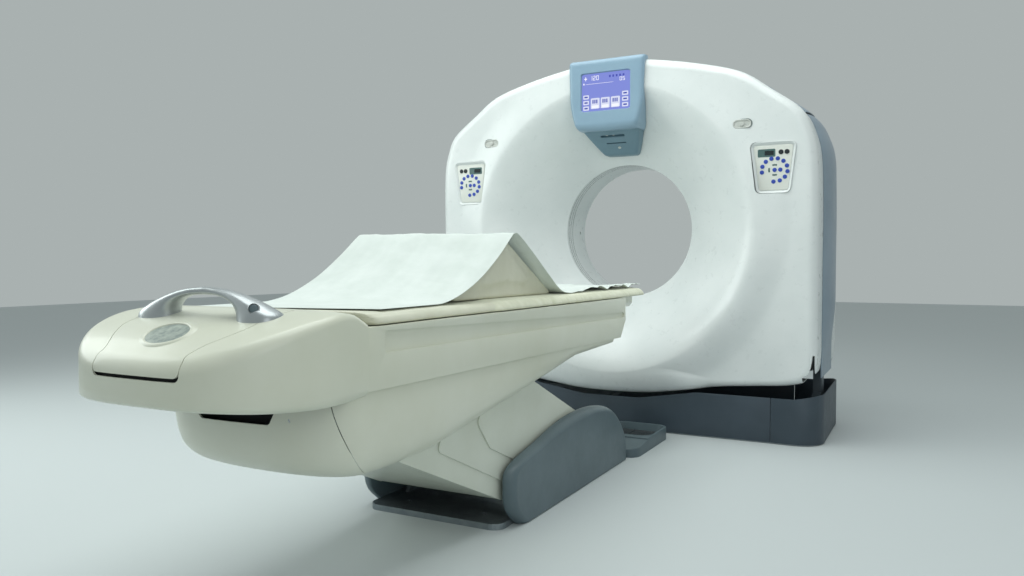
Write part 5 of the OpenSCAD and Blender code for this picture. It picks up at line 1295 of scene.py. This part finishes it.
# %% Loose cover
COVER_FROM, COVER_TO, HEM_Z = -2150 * MM, -PAD_TIP - 20 * MM, 699 * MM
shoulder = pad_section()[None, 8:34]
run = np.linspace(COVER_FROM, COVER_TO, 420)[:, None]
hem = np.clip(1 - (shoulder[..., 1] - HEM_Z) / (34 * MM), 0, 1)
tip_share = np.sqrt(1 - np.clip((run - TIP_FROM) / TIP_L, 0, 0.98)**2)
ripples = ((1.0, 92, 0.3), (0.8, 151, 1.4), (0.5, 247, 2.6))
ripple = sum(a * np.sin(run * f + p + 0.8 * np.sin(run * 5)) for a, f, p in ripples) / 2
patch = ease((np.sin(run * 7.3 + 1.0) + 0.75) * 0.8)
tuck = ease((run - COVER_FROM) / (100 * MM))
out = mix(-4, 1.6 + (2.4 + 2.6 * ripple * patch) * hem, tuck) * MM
up = mix(-4, 1.3 + 0.4 * ripple, tuck) * (1 - hem) * MM
grid = np.stack([(shoulder[..., 0] + out) * tip_share, run + 0 * out, shoulder[..., 1] + up], -1)
cotton = finish("cream washed cotton", "#DEDFC9", "#D0D1B8", 0.85, 1.1, 0.15, patch_mm=60, sheen=0.3,
                specular=0.2)
loose = thicken(surface("loose_cover", grid), 0.9 * MM, 0)
place(loose, "cradle", cotton, "sheet", angle=70)

# %% [markdown]
# ## The paper sheet
# The sheet lies flat at the foot end, climbs the wedge, turns over the ridge and falls down
# again. It is stiff paper cloth: its long slopes are almost straight, with shallow folds that
# run to the ridge's ends. Past the wedge it lies crumpled on the pad.

# %% Cover sheet
sheet_path = [[0, 0], [0.3, 0], [0.42, 0.02], [0.55, 0.13], [0.7, 0.35], [0.85, 0.66], [0.96, 0.93], [1, 1],
              [1.05, 0.965], [1.2, 0.68], [1.35, 0.36], [1.46, 0.13], [1.54, 0.03], [1.65, 0], [1.8, 0],
              [2.0, 0], [2.2, 0], [2.4, 0], [2.6, 0], [2.75, 0]]
SHEET_W, SHEET_FOOT, SHEET_REACH = mm(258, 2700, 720)
FOLDS = ((1.2, 5, 2.1, 0.4), (0.8, 11, -3.0, 1.7), (0.5, 23, 5.0, 2.9), (0.3, 41, 9.0, 0.9))
CRUMPLES = ((9, 2.3, 9.0, 0.3), (6, 4.1, -17.0, 1.1), (4, 7.7, 25.0, 2.0), (2, 15.0, 41.0, 0.2))
u, climb = spline(sheet_path, 12).T[:, :, None]
share = np.linspace(-1, 1, 81)[None]
y = RIDGE_Y + RIDGE_SKEW * share + (u - 1) * np.where(u < 1, SHEET_FOOT + RIDGE_Y, SHEET_REACH)
rest = PAD_Z + 3 * MM
folds = sum(a * np.sin(share * f + u * g + p) for a, f, g, p in FOLDS) * MM
crumple = sum(a * np.abs(np.sin(share * f + u * g + p)) for a, f, g, p in CRUMPLES) * MM
z = rest + climb * (RIDGE_Z + 1.5 * MM - rest) + folds * (0.25 + 0.75 * np.clip(climb * 4, 0, 1))
z = np.maximum(z, rest + 0.4 * MM) + crumple * ease((u - 1.62) / 0.3) * (0.55 + 0.45 * share**2)
x = share * SHEET_W + 0 * y + 1.5 * MM * np.sin(9 * u) * share**5
grid = np.stack([x, y, z], -1)
cloth_sheet = thicken(surface("paper_sheet", grid, flip=True), 0.8 * MM, -1)
place(cloth_sheet, "cradle", paper_cloth, "sheet", "cover_sheet", angle=60)

# %% [markdown]
# ## The machinery and the plain solids
# Every solid that keeps its own shape gets the finish of what it is made of.

# %% Finishes for the solids that show as they are
plain = {
    mill_steel: ["base_frame", "tilt_frame", "rotor_disc", "floor_plate", "table_frame", "upper_arm",
                 "lower_arm", "collimator", "carriage"],
    cast_grey: ["stand_left", "stand_right"],
    turned_steel: ["trunnion_pins", "bearing_outer", "bearing_inner", "floor_pivot_pins"],
    copper_coil: ["drive_stator"], gold_ring: ["slip_ring"], sensor_board: ["detector_arc"],
    worn_aluminium: ["xray_tube", "heat_exchangers", "voltage_tanks"], dark_abs: ["brush_block"],
    shell_paint: ["bore_liner"], table_abs: ["cradle"],
}
for material, nodes in plain.items():
    for name in nodes:
        dress(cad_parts[name], material)
        smooth(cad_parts[name], 30)

# %% [markdown]
# Last, the new pieces and their faces are counted.

# %% Count the pieces and their faces
print("pieces:", len(made), "faces:", sum(made.values()))
